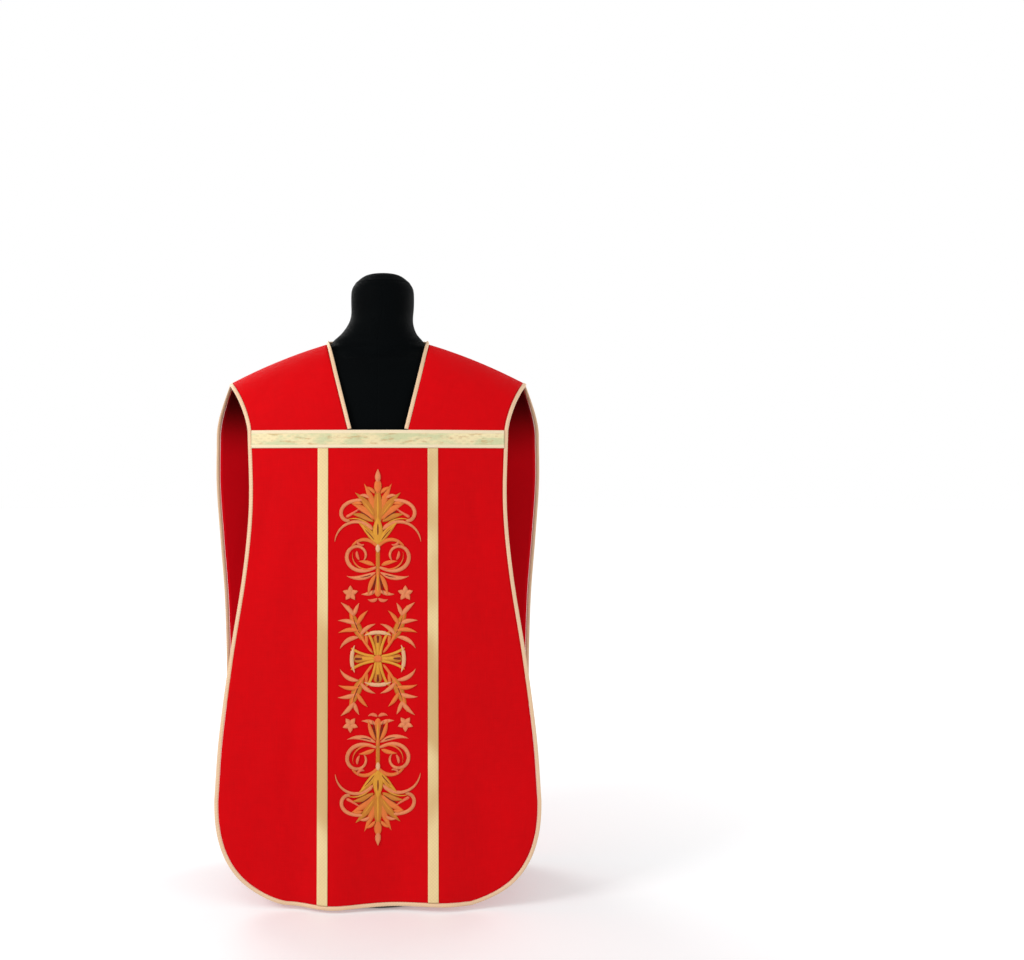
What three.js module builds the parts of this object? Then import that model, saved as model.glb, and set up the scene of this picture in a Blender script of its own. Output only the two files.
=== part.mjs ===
// Fiddleback chasuble worn by a limbless dress form, in millimetres.
// Seen from the front, +X is to the right, the front faces -Y and +Z is up.
// The origin is the centre of the underside of the form's round base.

import * as THREE from 'three';

const { Vector3 } = THREE;
const { lerp } = THREE.MathUtils;

// Walls of cloth, and the gaps between them
const PANEL_WALL = 1.6;
const LINING_WALL = 0.8;
const GALLOON_WALL = 1;
const SEAM_GAP = 0.3;
const HALF_SEAM = 0.2;

// Braid that binds each edge: a flattened six-sided section, which stands up round the neck
const BRAID = { wide: 7.5, thick: 3.6, edge: 1.8 };
const NECK_STAND = { angle: 50, fades: 60 };

// Shoulder line, from the neck point out to the tip
const SHOULDER = {
  neckX: 97, neckY: 5, neckZ: 1022.5,
  slope: 0.29, droop: 0.00062, backward: 0.06, tipX: 276,
};

// Front: yokes above a chest seam, and one panel below it
const CHEST = { z: 852, y: -128, sideFall: 25, halfWidth: 228.5, rollEnd: 80 };
const FRONT_HEM = { z: 17.5, y: -148, sideFall: 20, halfWidth: 290 };
const YOKE = { neckTaper: 43.4, armholeFlare: 1.45, turns: 7 };
const FRONT_CORNER = { top: 190, foot: 14, straight: 116.5, round: 170, power: 2.4 };

const FRONT_SIDE = [
  { z: 852, half: 228.5 },
  { z: 720, half: 225.5 },
  { z: 600, half: 236 },
  { z: 450, half: 259.5 },
  { z: 300, half: 279 },
  { z: 190, half: 286.5 },
];

const FRONT_ROWS = [
  852, 823.5, 780, 720, 660, 600, 540, 480, 420, 360, 300,
  245, 190, 150, 115, 85, 62, 44, 31, 23, 17.5,
];

const FRONT_FOLDS = [
  { at: -215, reach: 34, out: -5 },
  { at: -150, reach: 36, out: -6 },
  { at: -82, reach: 42, out: 10 },
  { at: 25, reach: 42, out: -5 },
  { at: 118, reach: 42, out: 7 },
  { at: 200, reach: 38, out: -5 },
];
const FRONT_DIP = { at: -85, reach: 80, down: 4 };

// Back: one panel from the neckline to the hem
const NAPE = { depth: 61, rise: 14, eased: 0.12, reach: 170 };
const NAPE_Z = SHOULDER.neckZ + NAPE.rise;
const BACK_TOP = { z: 850, y: 122, sideFall: 16, halfWidth: 313, rollEnd: 85, flare: 0.7 };
const BACK_HEM = { z: 30, y: 154, sideFall: 14, halfWidth: 300, settle: 4 };
const BACK_CORNER = { top: 132, straight: 204, round: 92 };

const BACK_SIDE = [
  { z: 850, half: 313 },
  { z: 760, half: 315 },
  { z: 650, half: 309 },
  { z: 534, half: 301 },
  { z: 400, half: 297.5 },
  { z: 250, half: 297.5 },
  { z: 132, half: 296 },
];

const BACK_FOLDS = [
  { at: -250, reach: 34, out: 5 },
  { at: -170, reach: 40, out: -5 },
  { at: -60, reach: 44, out: 5 },
  { at: 55, reach: 44, out: -4 },
  { at: 150, reach: 42, out: 6 },
  { at: 240, reach: 36, out: -4 },
];

// Woven galloon, laid on the panels
const GALLOON = { wide: 18.5, chestTop: 855.5, chestFoot: 823.5, inner: 89, outer: 107.5 };
const CROSS = {
  barHalf: 105, top: 1000, foot: 74,
  armHalf: 288, armTop: 794, armFoot: 585,
};

// The rows of the back that the cross needs, among those that shape the cloth, under rows by
// their share of the way from the neckline to the top of the cross
const NECK_ROWS = [0, 0.12, 0.5];
const BACK_ROWS = [
  CROSS.top, CROSS.top - GALLOON.wide, 950, 900, BACK_TOP.z,
  CROSS.armTop, CROSS.armTop - GALLOON.wide, 700, CROSS.armFoot + GALLOON.wide, CROSS.armFoot,
  500, 400, 300, 210, 132, 110, CROSS.foot + GALLOON.wide, CROSS.foot, 60, 48, 38, 32, 30,
];
const BACK_COLUMNS = [
  0, 43, CROSS.barHalf - GALLOON.wide, CROSS.barHalf, 145, 190, 225,
  CROSS.armHalf - GALLOON.wide, CROSS.armHalf, 315,
];

// Dress form: level sections from the flat underside up to the cap of the neck
const REST_GAP = 2.8;
const FORM_SIDES = 28;
const NECK_LEAN = { from: 1020, full: 1090, aside: 9 };
const FORM_SECTIONS = [
  { z: 436, half: 155, front: -96, back: 99, mid: 0, power: 2.2 },
  { z: 440, half: 164, front: -102, back: 105, mid: 0, power: 2.2 },
  { z: 450, half: 168, front: -104, back: 107, mid: 0, power: 2.2 },
  { z: 480, half: 168, front: -106, back: 108, mid: 0, power: 2.2 },
  { z: 520, half: 164, front: -107, back: 106, mid: 0, power: 2.2 },
  { z: 560, half: 156, front: -105, back: 101, mid: 0, power: 2.2 },
  { z: 600, half: 145, front: -102, back: 95, mid: 0, power: 2.2 },
  { z: 640, half: 138, front: -98, back: 91, mid: 0, power: 2.2 },
  { z: 680, half: 139, front: -98, back: 91, mid: 0, power: 2.2 },
  { z: 720, half: 148, front: -103, back: 94, mid: 0, power: 2.2 },
  { z: 760, half: 158, front: -112, back: 98, mid: 0, power: 2.2 },
  { z: 800, half: 164, front: -120, back: 103, mid: 0, power: 2.2 },
  { z: 830, half: 167, front: -122, back: 106, mid: 1, power: 2.2 },
  { z: 860, half: 171, front: -120, back: 107, mid: 2, power: 2.2 },
  { z: 900, half: 181, front: -113, back: 104, mid: 4, power: 2.1 },
  { z: 930, half: 190, front: -105, back: 99, mid: 6, power: 2 },
  { z: 960, half: 197, front: -92, back: 90, mid: 9, power: 1.9 },
  { z: 980, half: 193, front: -80, back: 80, mid: 11, power: 1.8 },
  { z: 990, half: 'shoulder', front: -74, back: 74, mid: 10, power: 1.6 },
  { z: 1000, half: 'shoulder', front: -67, back: 68, mid: 8.6, power: 1.5 },
  { z: 1010, half: 'shoulder', front: -63, back: 60, mid: 7, power: 1.45 },
  { z: 1020, half: 93.5, front: -62, back: 57, mid: 5, power: 1.9 },
  { z: 1030, half: 84.5, front: -62, back: 57, mid: 3, power: 2 },
  { z: 1043, half: 71.5, front: -62, back: 57, mid: 0, power: 2 },
  { z: 1059, half: 62.5, front: -62, back: 56, mid: -3, power: 2 },
  { z: 1075, half: 59, front: -61, back: 50, mid: -6, power: 2 },
  { z: 1100, half: 59.5, front: -66, back: 43, mid: -11, power: 2 },
  { z: 1118, half: 59, front: -69, back: 42, mid: -14, power: 2 },
  { z: 1128, half: 56.5, front: -68, back: 40, mid: -14, power: 2 },
  { z: 1136, half: 51, front: -63, back: 35, mid: -14, power: 2 },
  { z: 1143, half: 44, front: -57, back: 29, mid: -14, power: 2 },
  { z: 1148, half: 37, front: -51, back: 23, mid: -14, power: 2 },
  { z: 1151.5, half: 29, front: -43, back: 15, mid: -14, power: 2 },
  { z: 1154, half: 16, front: -30, back: 2, mid: -14, power: 2 },
];

// Stand under the form
const POLE = { radius: 12.5, sides: 24 };
const BASE = { radius: 130, rim: 6, thick: 12, hubRadius: 28, hubTop: 22, sides: 40 };

const MATERIALS = {
  cloth: new THREE.MeshStandardMaterial({ color: 0xd8121e, roughness: 0.8 }),
  lining: new THREE.MeshStandardMaterial({ color: 0x9a0612, roughness: 0.45 }),
  galloon: new THREE.MeshStandardMaterial({ color: 0xecd08c, roughness: 0.4, metalness: 0.4 }),
  braid: new THREE.MeshStandardMaterial({ color: 0xe2ac78, roughness: 0.5, metalness: 0.3 }),
  form: new THREE.MeshStandardMaterial({ color: 0x0a0c0e, roughness: 0.85 }),
  steel: new THREE.MeshStandardMaterial({ color: 0x9a9ca0, roughness: 0.35, metalness: 0.9 }),
  base: new THREE.MeshStandardMaterial({ color: 0x141414, roughness: 0.4, metalness: 0.5 }),
};

const chasuble = new THREE.Group();

function add(name, geometry, material) {
  const mesh = new THREE.Mesh(geometry, material);
  mesh.name = name;
  chasuble.add(mesh);
  return mesh;
}

// A smooth curve through a table's rows: half width against height
function halfWidthAt(table, z) {
  const rows = [...table].sort((a, b) => a.z - b.z);
  const last = rows.length - 1;
  const slopeAt = (i) => {
    const before = rows[Math.max(i - 1, 0)];
    const after = rows[Math.min(i + 1, last)];
    return (after.half - before.half) / (after.z - before.z);
  };
  const i = Math.min(Math.max(rows.findIndex((row) => row.z >= z) - 1, 0), last - 1);
  const step = rows[i + 1].z - rows[i].z;
  const t = (z - rows[i].z) / step;
  const bend = t * t * (3 - 2 * t);
  const leave = t * (1 - t) * (1 - t) * step * slopeAt(i);
  const arrive = t * t * (t - 1) * step * slopeAt(i + 1);
  return lerp(rows[i].half, rows[i + 1].half, bend) + leave + arrive;
}

function bumps(rows, x) {
  return rows.reduce((sum, row) => sum + row.out * Math.exp(-(((x - row.at) / row.reach) ** 2)), 0);
}

function bowedY(section, x) {
  return section.y - Math.sign(section.y) * section.sideFall * (x / section.halfWidth) ** 2;
}

// Cloth rolls over the shoulder as a quarter turn does: the angle runs from level to nearly upright
function dropAtAngle(angle, rollEnd) {
  return (1 - Math.cos(angle)) / (1 - Math.cos(rollEnd));
}

function reachAtDrop(drop, rollEnd) {
  const angle = Math.acos(1 - drop * (1 - Math.cos(rollEnd)));
  return Math.sin(angle) / Math.sin(rollEnd);
}

function shoulderRun(x) {
  return Math.max(Math.abs(x) - SHOULDER.neckX, 0);
}

function shoulderZ(x) {
  const run = shoulderRun(x);
  return SHOULDER.neckZ - SHOULDER.slope * run - SHOULDER.droop * run * run;
}

function shoulderY(x) {
  return SHOULDER.neckY + SHOULDER.backward * shoulderRun(x);
}

function shoulderXAtHeight(z) {
  const root = Math.sqrt(SHOULDER.slope ** 2 + 4 * SHOULDER.droop * (SHOULDER.neckZ - z));
  return SHOULDER.neckX + (root - SHOULDER.slope) / (2 * SHOULDER.droop);
}

const radians = THREE.MathUtils.degToRad;

// Front cloth

function yokePoint(x, drop) {
  const top = shoulderZ(x);
  const reach = reachAtDrop(drop, radians(CHEST.rollEnd));
  const y = lerp(shoulderY(x) - HALF_SEAM, bowedY(CHEST, x), reach);
  return new Vector3(x, y, lerp(top, CHEST.z + HALF_SEAM, drop));
}

function frontHalf(z) {
  if (z >= FRONT_CORNER.top) return halfWidthAt(FRONT_SIDE, z);
  const fall = (FRONT_CORNER.top - z) / (FRONT_CORNER.top - FRONT_CORNER.foot);
  const round = (1 - fall ** FRONT_CORNER.power) ** (1 / FRONT_CORNER.power);
  return FRONT_CORNER.straight + FRONT_CORNER.round * round;
}

function frontPoint(x, z) {
  const fall = (CHEST.z - z) / (CHEST.z - FRONT_HEM.z);
  const plain = lerp(bowedY(CHEST, x), bowedY(FRONT_HEM, x), fall);
  const dip = FRONT_DIP.down * Math.exp(-(((x - FRONT_DIP.at) / FRONT_DIP.reach) ** 2));
  const seam = z === CHEST.z ? HALF_SEAM : 0;
  return new Vector3(x, plain - bumps(FRONT_FOLDS, x) * fall ** 1.3, z - seam - dip * fall ** 3);
}

// Shares of the width from the vertical galloon out to the edge
const OUTER_SHARES = [0.2, 0.4, 0.6, 0.8, 1];

function frontColumns(half) {
  const outer = OUTER_SHARES.map((share) => lerp(GALLOON.outer, half, share));
  const right = [45, GALLOON.inner, GALLOON.outer, ...outer];
  return [...[...right].reverse(), 0, ...right.map((x) => -x)];
}

function frontGrid() {
  return FRONT_ROWS.map((z) => frontColumns(frontHalf(z)).map((x) => frontPoint(x, z)));
}

// Neckline and armhole edges of a yoke, each by the share of its drop
function yokeInner(drop) {
  return SHOULDER.neckX - YOKE.neckTaper * drop;
}

function yokeOuter(drop) {
  const flare = SHOULDER.tipX - CHEST.halfWidth;
  return CHEST.halfWidth + flare * (1 - drop) ** YOKE.armholeFlare;
}

function yokeGrid(side) {
  const seamInner = yokeInner(1);
  const seamColumns = [seamInner, GALLOON.inner, ...OUTER_SHARES.map((share) => lerp(GALLOON.outer, CHEST.halfWidth, share))];
  const shares = seamColumns.map((x) => (x - seamInner) / (CHEST.halfWidth - seamInner));
  const rows = [];
  for (let turn = 0; turn <= YOKE.turns; turn += 1) {
    const angle = radians(CHEST.rollEnd) * (turn / YOKE.turns);
    const drop = dropAtAngle(angle, radians(CHEST.rollEnd));
    const row = shares.map((share) => yokePoint(side * lerp(yokeInner(drop), yokeOuter(drop), share), drop));
    rows.push(side > 0 ? row.reverse() : row);
  }
  return rows;
}

// Back cloth

function backHalf(z) {
  if (z >= BACK_CORNER.top) return halfWidthAt(BACK_SIDE, z);
  const fall = (BACK_CORNER.top - z) / (BACK_CORNER.top - BACK_HEM.z);
  return BACK_CORNER.straight + BACK_CORNER.round * Math.sqrt(1 - fall * fall);
}

// The back's upper edge: round the nape between the neck points, then along the shoulder
function backTop(x) {
  const across = Math.min(Math.abs(x) / SHOULDER.neckX, 1);
  const round = 1 - across * across;
  const y = shoulderY(x) + HALF_SEAM + NAPE.depth * Math.sqrt(round);
  return new Vector3(x, y, shoulderZ(x) + NAPE.rise * round);
}

// Just below the neckline the cloth eases from the neckline's curve to a wider, softer one
function backUpperPoint(x, drop) {
  const top = backTop(x);
  const across = Math.min(Math.abs(x) / NAPE.reach, 1);
  const soft = shoulderY(x) + HALF_SEAM + (NAPE.depth * (1 + Math.cos(Math.PI * across))) / 2;
  const share = Math.min(drop / NAPE.eased, 1);
  const start = lerp(top.y, soft, share * share * (3 - 2 * share));
  const reach = reachAtDrop(drop, radians(BACK_TOP.rollEnd));
  return new Vector3(x, lerp(start, bowedY(BACK_TOP, x), reach), lerp(top.z, BACK_TOP.z, drop));
}

function backLowerPoint(x, z) {
  const fall = (BACK_TOP.z - z) / (BACK_TOP.z - BACK_HEM.z);
  const settled = 1 - (1 - fall) ** BACK_HEM.settle;
  const plain = lerp(bowedY(BACK_TOP, x), bowedY(BACK_HEM, x), settled);
  return new Vector3(x, plain + bumps(BACK_FOLDS, x) * fall ** 1.3, z);
}

// One row of columns: the middle ones keep their share of the inner width, the rest of the outer
function backRow(inner, half, place) {
  const widest = BACK_COLUMNS[BACK_COLUMNS.length - 1];
  const right = BACK_COLUMNS.map((column) => {
    if (column <= CROSS.barHalf) return (column * inner) / CROSS.barHalf;
    return lerp(inner, half, (column - CROSS.barHalf) / (widest - CROSS.barHalf));
  });
  const left = right.slice(1).reverse().map((x) => -x);
  return [...left, ...right].map((x) => place(x, Math.abs(x) <= inner));
}

function backUpperHalf(drop) {
  const flare = BACK_TOP.halfWidth - SHOULDER.tipX;
  return SHOULDER.tipX + flare * Math.sin((drop * Math.PI) / 2) ** BACK_TOP.flare;
}

// Rows above the shoulder blades are level across the cross, and follow the shoulder's slope outside it
function backUpperRow(z) {
  const barTop = backTop(CROSS.barHalf).z;
  const outerDrop = (barTop - z) / (barTop - BACK_TOP.z);
  return backRow(CROSS.barHalf, backUpperHalf(outerDrop), (x, inside) => {
    const top = backTop(x).z;
    return backUpperPoint(x, inside ? (top - z) / (top - BACK_TOP.z) : outerDrop);
  });
}

// Rows between the neckline and the top of the cross, by their share of the way down
function backNeckRow(share) {
  const barTop = backTop(CROSS.barHalf).z;
  const outerDrop = (share * (barTop - CROSS.top)) / (barTop - BACK_TOP.z);
  const inner = lerp(SHOULDER.neckX, CROSS.barHalf, share);
  return backRow(inner, backUpperHalf(outerDrop), (x, inside) => {
    const top = backTop(x).z;
    return backUpperPoint(x, inside ? (share * (top - CROSS.top)) / (top - BACK_TOP.z) : outerDrop);
  });
}

function backGrid() {
  const rows = NECK_ROWS.map(backNeckRow);
  BACK_ROWS.forEach((z) => {
    if (z > BACK_TOP.z) rows.push(backUpperRow(z));
    else rows.push(backRow(CROSS.barHalf, backHalf(z), (x) => backLowerPoint(x, z)));
  });
  return rows;
}

// Solids of cloth

// Each point's outward direction, from its neighbours along and across the cloth
function normalsOf(grid) {
  const at = (i, j) => grid[Math.min(Math.max(i, 0), grid.length - 1)][Math.min(Math.max(j, 0), grid[0].length - 1)];
  return grid.map((row, i) => row.map((_, j) => {
    const across = at(i, j + 1).clone().sub(at(i, j - 1));
    const down = at(i + 1, j).clone().sub(at(i - 1, j));
    return across.cross(down).normalize();
  }));
}

// A seam's rim stands square to the seam, so one component of its directions is dropped
function squareEdge(normals, axis) {
  normals.forEach((normal) => normal.setComponent(axis, 0).normalize());
}

function allCells(grid) {
  return grid.slice(1).flatMap((_, i) => grid[0].slice(1).map((__, j) => [i, j]));
}

// A closed wall over chosen cells of a grid whose columns x rows point outwards
function clothWall(cloth, { lift = 0, wall, cells = allCells(cloth.grid) }) {
  const columns = cloth.grid[0].length;
  const inside = cloth.grid.length * columns;
  const corners = [lift + wall / 2, lift - wall / 2].flatMap((offset) => (
    cloth.grid.flatMap((row, i) => row.map((point, j) => (
      point.clone().addScaledVector(cloth.normals[i][j], offset)
    )))
  ));
  const faces = [];
  const edges = new Map();
  cells.forEach(([i, j]) => {
    const a = i * columns + j;
    const loop = [a, a + 1, a + columns + 1, a + columns];
    faces.push([loop[0], loop[1], loop[2]], [loop[0], loop[2], loop[3]]);
    faces.push([loop[2] + inside, loop[1] + inside, loop[0] + inside]);
    faces.push([loop[3] + inside, loop[2] + inside, loop[0] + inside]);
    loop.forEach((from, k) => edges.set(`${from}-${loop[(k + 1) % 4]}`, [from, loop[(k + 1) % 4]]));
  });
  edges.forEach(([from, to]) => {
    if (edges.has(`${to}-${from}`)) return;
    faces.push([from, from + inside, to + inside], [from, to + inside, to]);
  });
  return solid(corners, faces);
}

function solid(corners, faces) {
  const positions = faces.flat().flatMap((index) => corners[index].toArray());
  const geometry = new THREE.BufferGeometry();
  geometry.setAttribute('position', new THREE.Float32BufferAttribute(positions, 3));
  return geometry;
}

// A closed skin through rings of equally many corners, fanned shut at both ends
function loft(rings) {
  const sides = rings[0].length;
  const last = (rings.length - 1) * sides;
  const faces = [];
  for (let ring = 0; ring < rings.length - 1; ring += 1) {
    for (let side = 0; side < sides; side += 1) {
      const a = ring * sides + side;
      const b = ring * sides + ((side + 1) % sides);
      faces.push([a, b, b + sides], [a, b + sides, a + sides]);
    }
  }
  for (let side = 1; side < sides - 1; side += 1) {
    faces.push([0, side + 1, side], [last, last + side, last + side + 1]);
  }
  const corners = rings.flat();
  const volume = faces.reduce((sum, [a, b, c]) => (
    sum + corners[a].dot(corners[b].clone().cross(corners[c]))
  ), 0);
  return solid(corners, volume > 0 ? faces : faces.map((face) => [...face].reverse()));
}

// Braid along an edge: each stop has the edge's point, its outward direction and the way off the cloth
function braidSolid(stops) {
  const { wide, thick, edge } = BRAID;
  const section = [
    [-wide / 2, -edge / 2], [0, -thick / 2], [wide / 2, -edge / 2],
    [wide / 2, edge / 2], [0, thick / 2], [-wide / 2, edge / 2],
  ];
  return loft(stops.map(({ point, normal, off }) => section.map(([aside, up]) => (
    point.clone().addScaledVector(off, SEAM_GAP + wide / 2 + aside).addScaledVector(normal, up)
  ))));
}

// The stops along a run of a cloth's edge points, given as row and column numbers
function edgeStops(cloth, places) {
  return places.map(([i, j]) => ({ point: cloth.grid[i][j], normal: cloth.normals[i][j] }));
}

// Sets the way off the cloth at each stop, square to the run; side is 1 or -1
function turnOff(stops, side) {
  return stops.map((stop, i) => {
    const before = stops[Math.max(i - 1, 0)].point;
    const after = stops[Math.min(i + 1, stops.length - 1)].point;
    const along = after.clone().sub(before);
    const off = along.cross(stop.normal).multiplyScalar(side).normalize();
    const normal = stop.normal.clone().addScaledVector(off, -stop.normal.dot(off)).normalize();
    return { point: stop.point, normal, off };
  });
}

function count(size) {
  return [...Array(size).keys()];
}

function clothOf(grid) {
  return { grid, normals: normalsOf(grid), rows: grid.length, columns: grid[0].length };
}

// Main panels

const front = clothOf(frontGrid());
squareEdge(front.normals[0], 2);
add('front_panel', clothWall(front, { wall: PANEL_WALL }), MATERIALS.cloth);

const yokes = { left: clothOf(yokeGrid(-1)), right: clothOf(yokeGrid(1)) };
Object.entries(yokes).forEach(([side, yoke]) => {
  squareEdge(yoke.normals[0], 1);
  squareEdge(yoke.normals[yoke.rows - 1], 2);
  add(`yoke_${side}`, clothWall(yoke, { wall: PANEL_WALL }), MATERIALS.cloth);
});

const back = clothOf(backGrid());
squareEdge(back.normals[0].filter((_, j) => Math.abs(back.grid[0][j].x) >= SHOULDER.neckX), 1);
add('back_panel', clothWall(back, { wall: PANEL_WALL }), MATERIALS.cloth);

const liningLift = -(PANEL_WALL / 2 + SEAM_GAP + LINING_WALL / 2);
add('back_lining', clothWall(back, { lift: liningLift, wall: LINING_WALL }), MATERIALS.lining);

// Galloon on the front: a chest band over the seam, and two upright strips from it to the hem

const galloonLift = PANEL_WALL / 2 + SEAM_GAP + GALLOON_WALL / 2;
const bandDrop = [GALLOON.chestTop, GALLOON.chestFoot];
const bandGrid = bandDrop.map((z, i) => front.grid[i].map((point) => point.clone().setZ(z)));
add('chest_band', clothWall(clothOf(bandGrid), { lift: galloonLift, wall: GALLOON_WALL }), MATERIALS.galloon);

function uprightCells(side) {
  const edge = front.grid[0].findIndex((point) => Math.abs(point.x - side * GALLOON.outer) < 0.01);
  const column = side > 0 ? edge : edge - 1;
  return count(front.rows - 2).map((row) => [row + 1, column]);
}

// The upright strips stop just under the chest band
const strips = clothOf(front.grid.map((row, i) => row.map((point) => (
  i === 1 ? point.clone().setZ(point.z - SEAM_GAP) : point
))));
Object.entries({ left: -1, right: 1 }).forEach(([name, side]) => {
  const shape = { lift: galloonLift, wall: GALLOON_WALL, cells: uprightCells(side) };
  add(`front_galloon_${name}`, clothWall(strips, shape), MATERIALS.galloon);
});

// Galloon on the back: the outline of a tall cross

function insideCross(x, z, margin) {
  const inBar = Math.abs(x) < CROSS.barHalf - margin && z < CROSS.top - margin && z > CROSS.foot + margin;
  const inArms = Math.abs(x) < CROSS.armHalf - margin && z < CROSS.armTop - margin && z > CROSS.armFoot + margin;
  return inBar || inArms;
}

// Cells are tested by their row's height and their column's plain place, before the cloth narrows
function crossCells() {
  const heights = [...NECK_ROWS.map(() => NAPE_Z), ...BACK_ROWS];
  const places = [...BACK_COLUMNS.slice(1).reverse().map((x) => -x), ...BACK_COLUMNS];
  return allCells(back.grid).filter(([i, j]) => {
    const z = (heights[i] + heights[i + 1]) / 2;
    const x = (places[j] + places[j + 1]) / 2;
    return insideCross(x, z, 0) && !insideCross(x, z, GALLOON.wide);
  });
}
add('cross_galloon', clothWall(back, { lift: galloonLift, wall: GALLOON_WALL, cells: crossCells() }), MATERIALS.galloon);

// Braid round the free edges

function lastColumn(cloth) {
  return cloth.columns - 1;
}

function frontEdgeStops() {
  const { left, right } = yokes;
  const lastRow = front.rows - 1;
  const sideRows = count(lastRow).slice(1);
  return turnOff([
    ...edgeStops(left, count(left.rows).map((i) => [i, lastColumn(left)])),
    ...edgeStops(front, sideRows.map((i) => [i, lastColumn(front)])),
    ...edgeStops(front, count(front.columns).map((j) => [lastRow, j]).reverse()),
    ...edgeStops(front, sideRows.map((i) => [i, 0]).reverse()),
    ...edgeStops(right, count(right.rows).map((i) => [i, 0]).reverse()),
  ], 1);
}

function backEdgeStops() {
  const lastRow = back.rows - 1;
  return turnOff([
    ...edgeStops(back, count(lastRow).map((i) => [i, 0])),
    ...edgeStops(back, count(back.columns).map((j) => [lastRow, j])),
    ...edgeStops(back, count(lastRow).map((i) => [i, lastColumn(back)]).reverse()),
  ], -1);
}

// The neck braid ends just above the chest band
function bandStop(yoke, column) {
  const [above, below] = [yoke.rows - 2, yoke.rows - 1].map((i) => yoke.grid[i][column]);
  const share = (above.z - GALLOON.chestTop - SEAM_GAP) / (above.z - below.z);
  const normal = yoke.normals[yoke.rows - 1][column];
  return { point: above.clone().lerp(below, share), normal };
}

// Round the neck the braid stands up, and it lies down along the yokes
function standUp(stop, angle) {
  const off = stop.off.clone().multiplyScalar(Math.cos(angle)).addScaledVector(stop.normal, Math.sin(angle));
  const normal = stop.normal.clone().multiplyScalar(Math.cos(angle)).addScaledVector(stop.off, -Math.sin(angle));
  const point = stop.point.clone().addScaledVector(off, (PANEL_WALL / 2) * Math.sin(angle));
  return { point, normal, off };
}

function neckStops() {
  const { left, right } = yokes;
  const slopeRows = count(left.rows - 1).slice(1);
  const napeColumns = count(back.columns).filter((j) => Math.abs(back.grid[0][j].x) <= SHOULDER.neckX);
  const rightInner = lastColumn(right);
  const stops = turnOff([
    bandStop(left, 0),
    ...edgeStops(left, slopeRows.map((i) => [i, 0]).reverse()),
    ...edgeStops(back, napeColumns.map((j) => [0, j])),
    ...edgeStops(right, slopeRows.map((i) => [i, rightInner])),
    bandStop(right, rightInner),
  ], 1);
  const fullStand = SHOULDER.neckZ - NECK_STAND.fades;
  return stops.map((stop) => {
    const share = Math.min(Math.max((stop.point.z - fullStand) / NECK_STAND.fades, 0), 1);
    return standUp(stop, radians(NECK_STAND.angle) * share);
  });
}

function squareEnds(stops, axis) {
  [stops[0], stops[stops.length - 1]].forEach((stop) => squareEdge([stop.normal, stop.off], axis));
  return stops;
}

add('front_edge_braid', braidSolid(squareEnds(frontEdgeStops(), 1)), MATERIALS.braid);
add('back_edge_braid', braidSolid(squareEnds(backEdgeStops(), 1)), MATERIALS.braid);
add('neck_braid', braidSolid(squareEnds(neckStops(), 2)), MATERIALS.braid);

// Dress form and its stand

function formRing({ z, half, front: frontY, back: backY, mid, power }) {
  const halfX = half === 'shoulder' ? shoulderXAtHeight(z + REST_GAP) : half;
  const rounded = (value) => Math.sign(value) * Math.abs(value) ** (2 / power);
  const lean = NECK_LEAN.aside * THREE.MathUtils.smoothstep(z, NECK_LEAN.from, NECK_LEAN.full);
  return count(FORM_SIDES).map((side) => {
    const angle = (2 * Math.PI * side) / FORM_SIDES;
    const across = rounded(Math.cos(angle));
    const along = rounded(Math.sin(angle));
    const depth = along < 0 ? mid - frontY : backY - mid;
    return new Vector3(lean + halfX * across, mid + depth * along, z);
  });
}
add('form_torso', loft(FORM_SECTIONS.map(formRing)), MATERIALS.form);

const poleFoot = BASE.hubTop + SEAM_GAP;
const poleTop = FORM_SECTIONS[0].z - SEAM_GAP;
const poleGeometry = new THREE.CylinderGeometry(POLE.radius, POLE.radius, poleTop - poleFoot, POLE.sides);
poleGeometry.rotateX(Math.PI / 2);
const pole = add('form_pole', poleGeometry, MATERIALS.steel);
pole.position.z = (poleTop + poleFoot) / 2;

const baseProfile = [
  [0, 0], [BASE.radius, 0], [BASE.radius, BASE.rim], [BASE.radius - BASE.rim, BASE.thick],
  [BASE.hubRadius, BASE.thick], [BASE.hubRadius - BASE.rim, BASE.hubTop], [0, BASE.hubTop],
].map(([radius, height]) => new THREE.Vector2(radius, height));
const baseGeometry = new THREE.LatheGeometry(baseProfile, BASE.sides);
baseGeometry.rotateX(Math.PI / 2);
add('form_base', baseGeometry, MATERIALS.base);

export default chasuble;
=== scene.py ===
"""A lined fiddleback chasuble with galloon and embroidery, worn by a limbless dress form."""

import functools
import math
from collections import namedtuple
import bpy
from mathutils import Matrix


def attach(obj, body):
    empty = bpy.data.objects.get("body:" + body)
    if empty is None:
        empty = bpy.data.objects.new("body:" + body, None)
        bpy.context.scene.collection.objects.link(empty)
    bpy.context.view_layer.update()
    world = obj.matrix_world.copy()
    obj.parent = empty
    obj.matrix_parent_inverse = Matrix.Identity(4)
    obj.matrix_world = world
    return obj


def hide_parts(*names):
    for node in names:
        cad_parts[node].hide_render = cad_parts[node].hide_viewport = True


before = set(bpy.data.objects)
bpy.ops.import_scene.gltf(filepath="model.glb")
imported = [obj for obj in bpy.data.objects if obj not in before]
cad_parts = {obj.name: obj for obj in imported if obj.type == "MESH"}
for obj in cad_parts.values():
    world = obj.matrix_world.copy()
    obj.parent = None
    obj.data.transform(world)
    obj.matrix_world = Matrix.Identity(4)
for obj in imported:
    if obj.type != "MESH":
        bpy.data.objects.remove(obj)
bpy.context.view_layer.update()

from types import SimpleNamespace

import bmesh
import bpy
import numpy as np
from mathutils import Vector

bl_info = {
    "name": "Fiddleback Chasuble",
    "version": (1, 0, 0),
    "blender": (4, 5, 0),
    "location": "3D View > Sidebar > Chasuble",
    "description": "Builds a fiddleback chasuble with galloon and embroidery on a dress form",
    "category": "Add Mesh",
}

MM = 0.001
BODY = "root"

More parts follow.
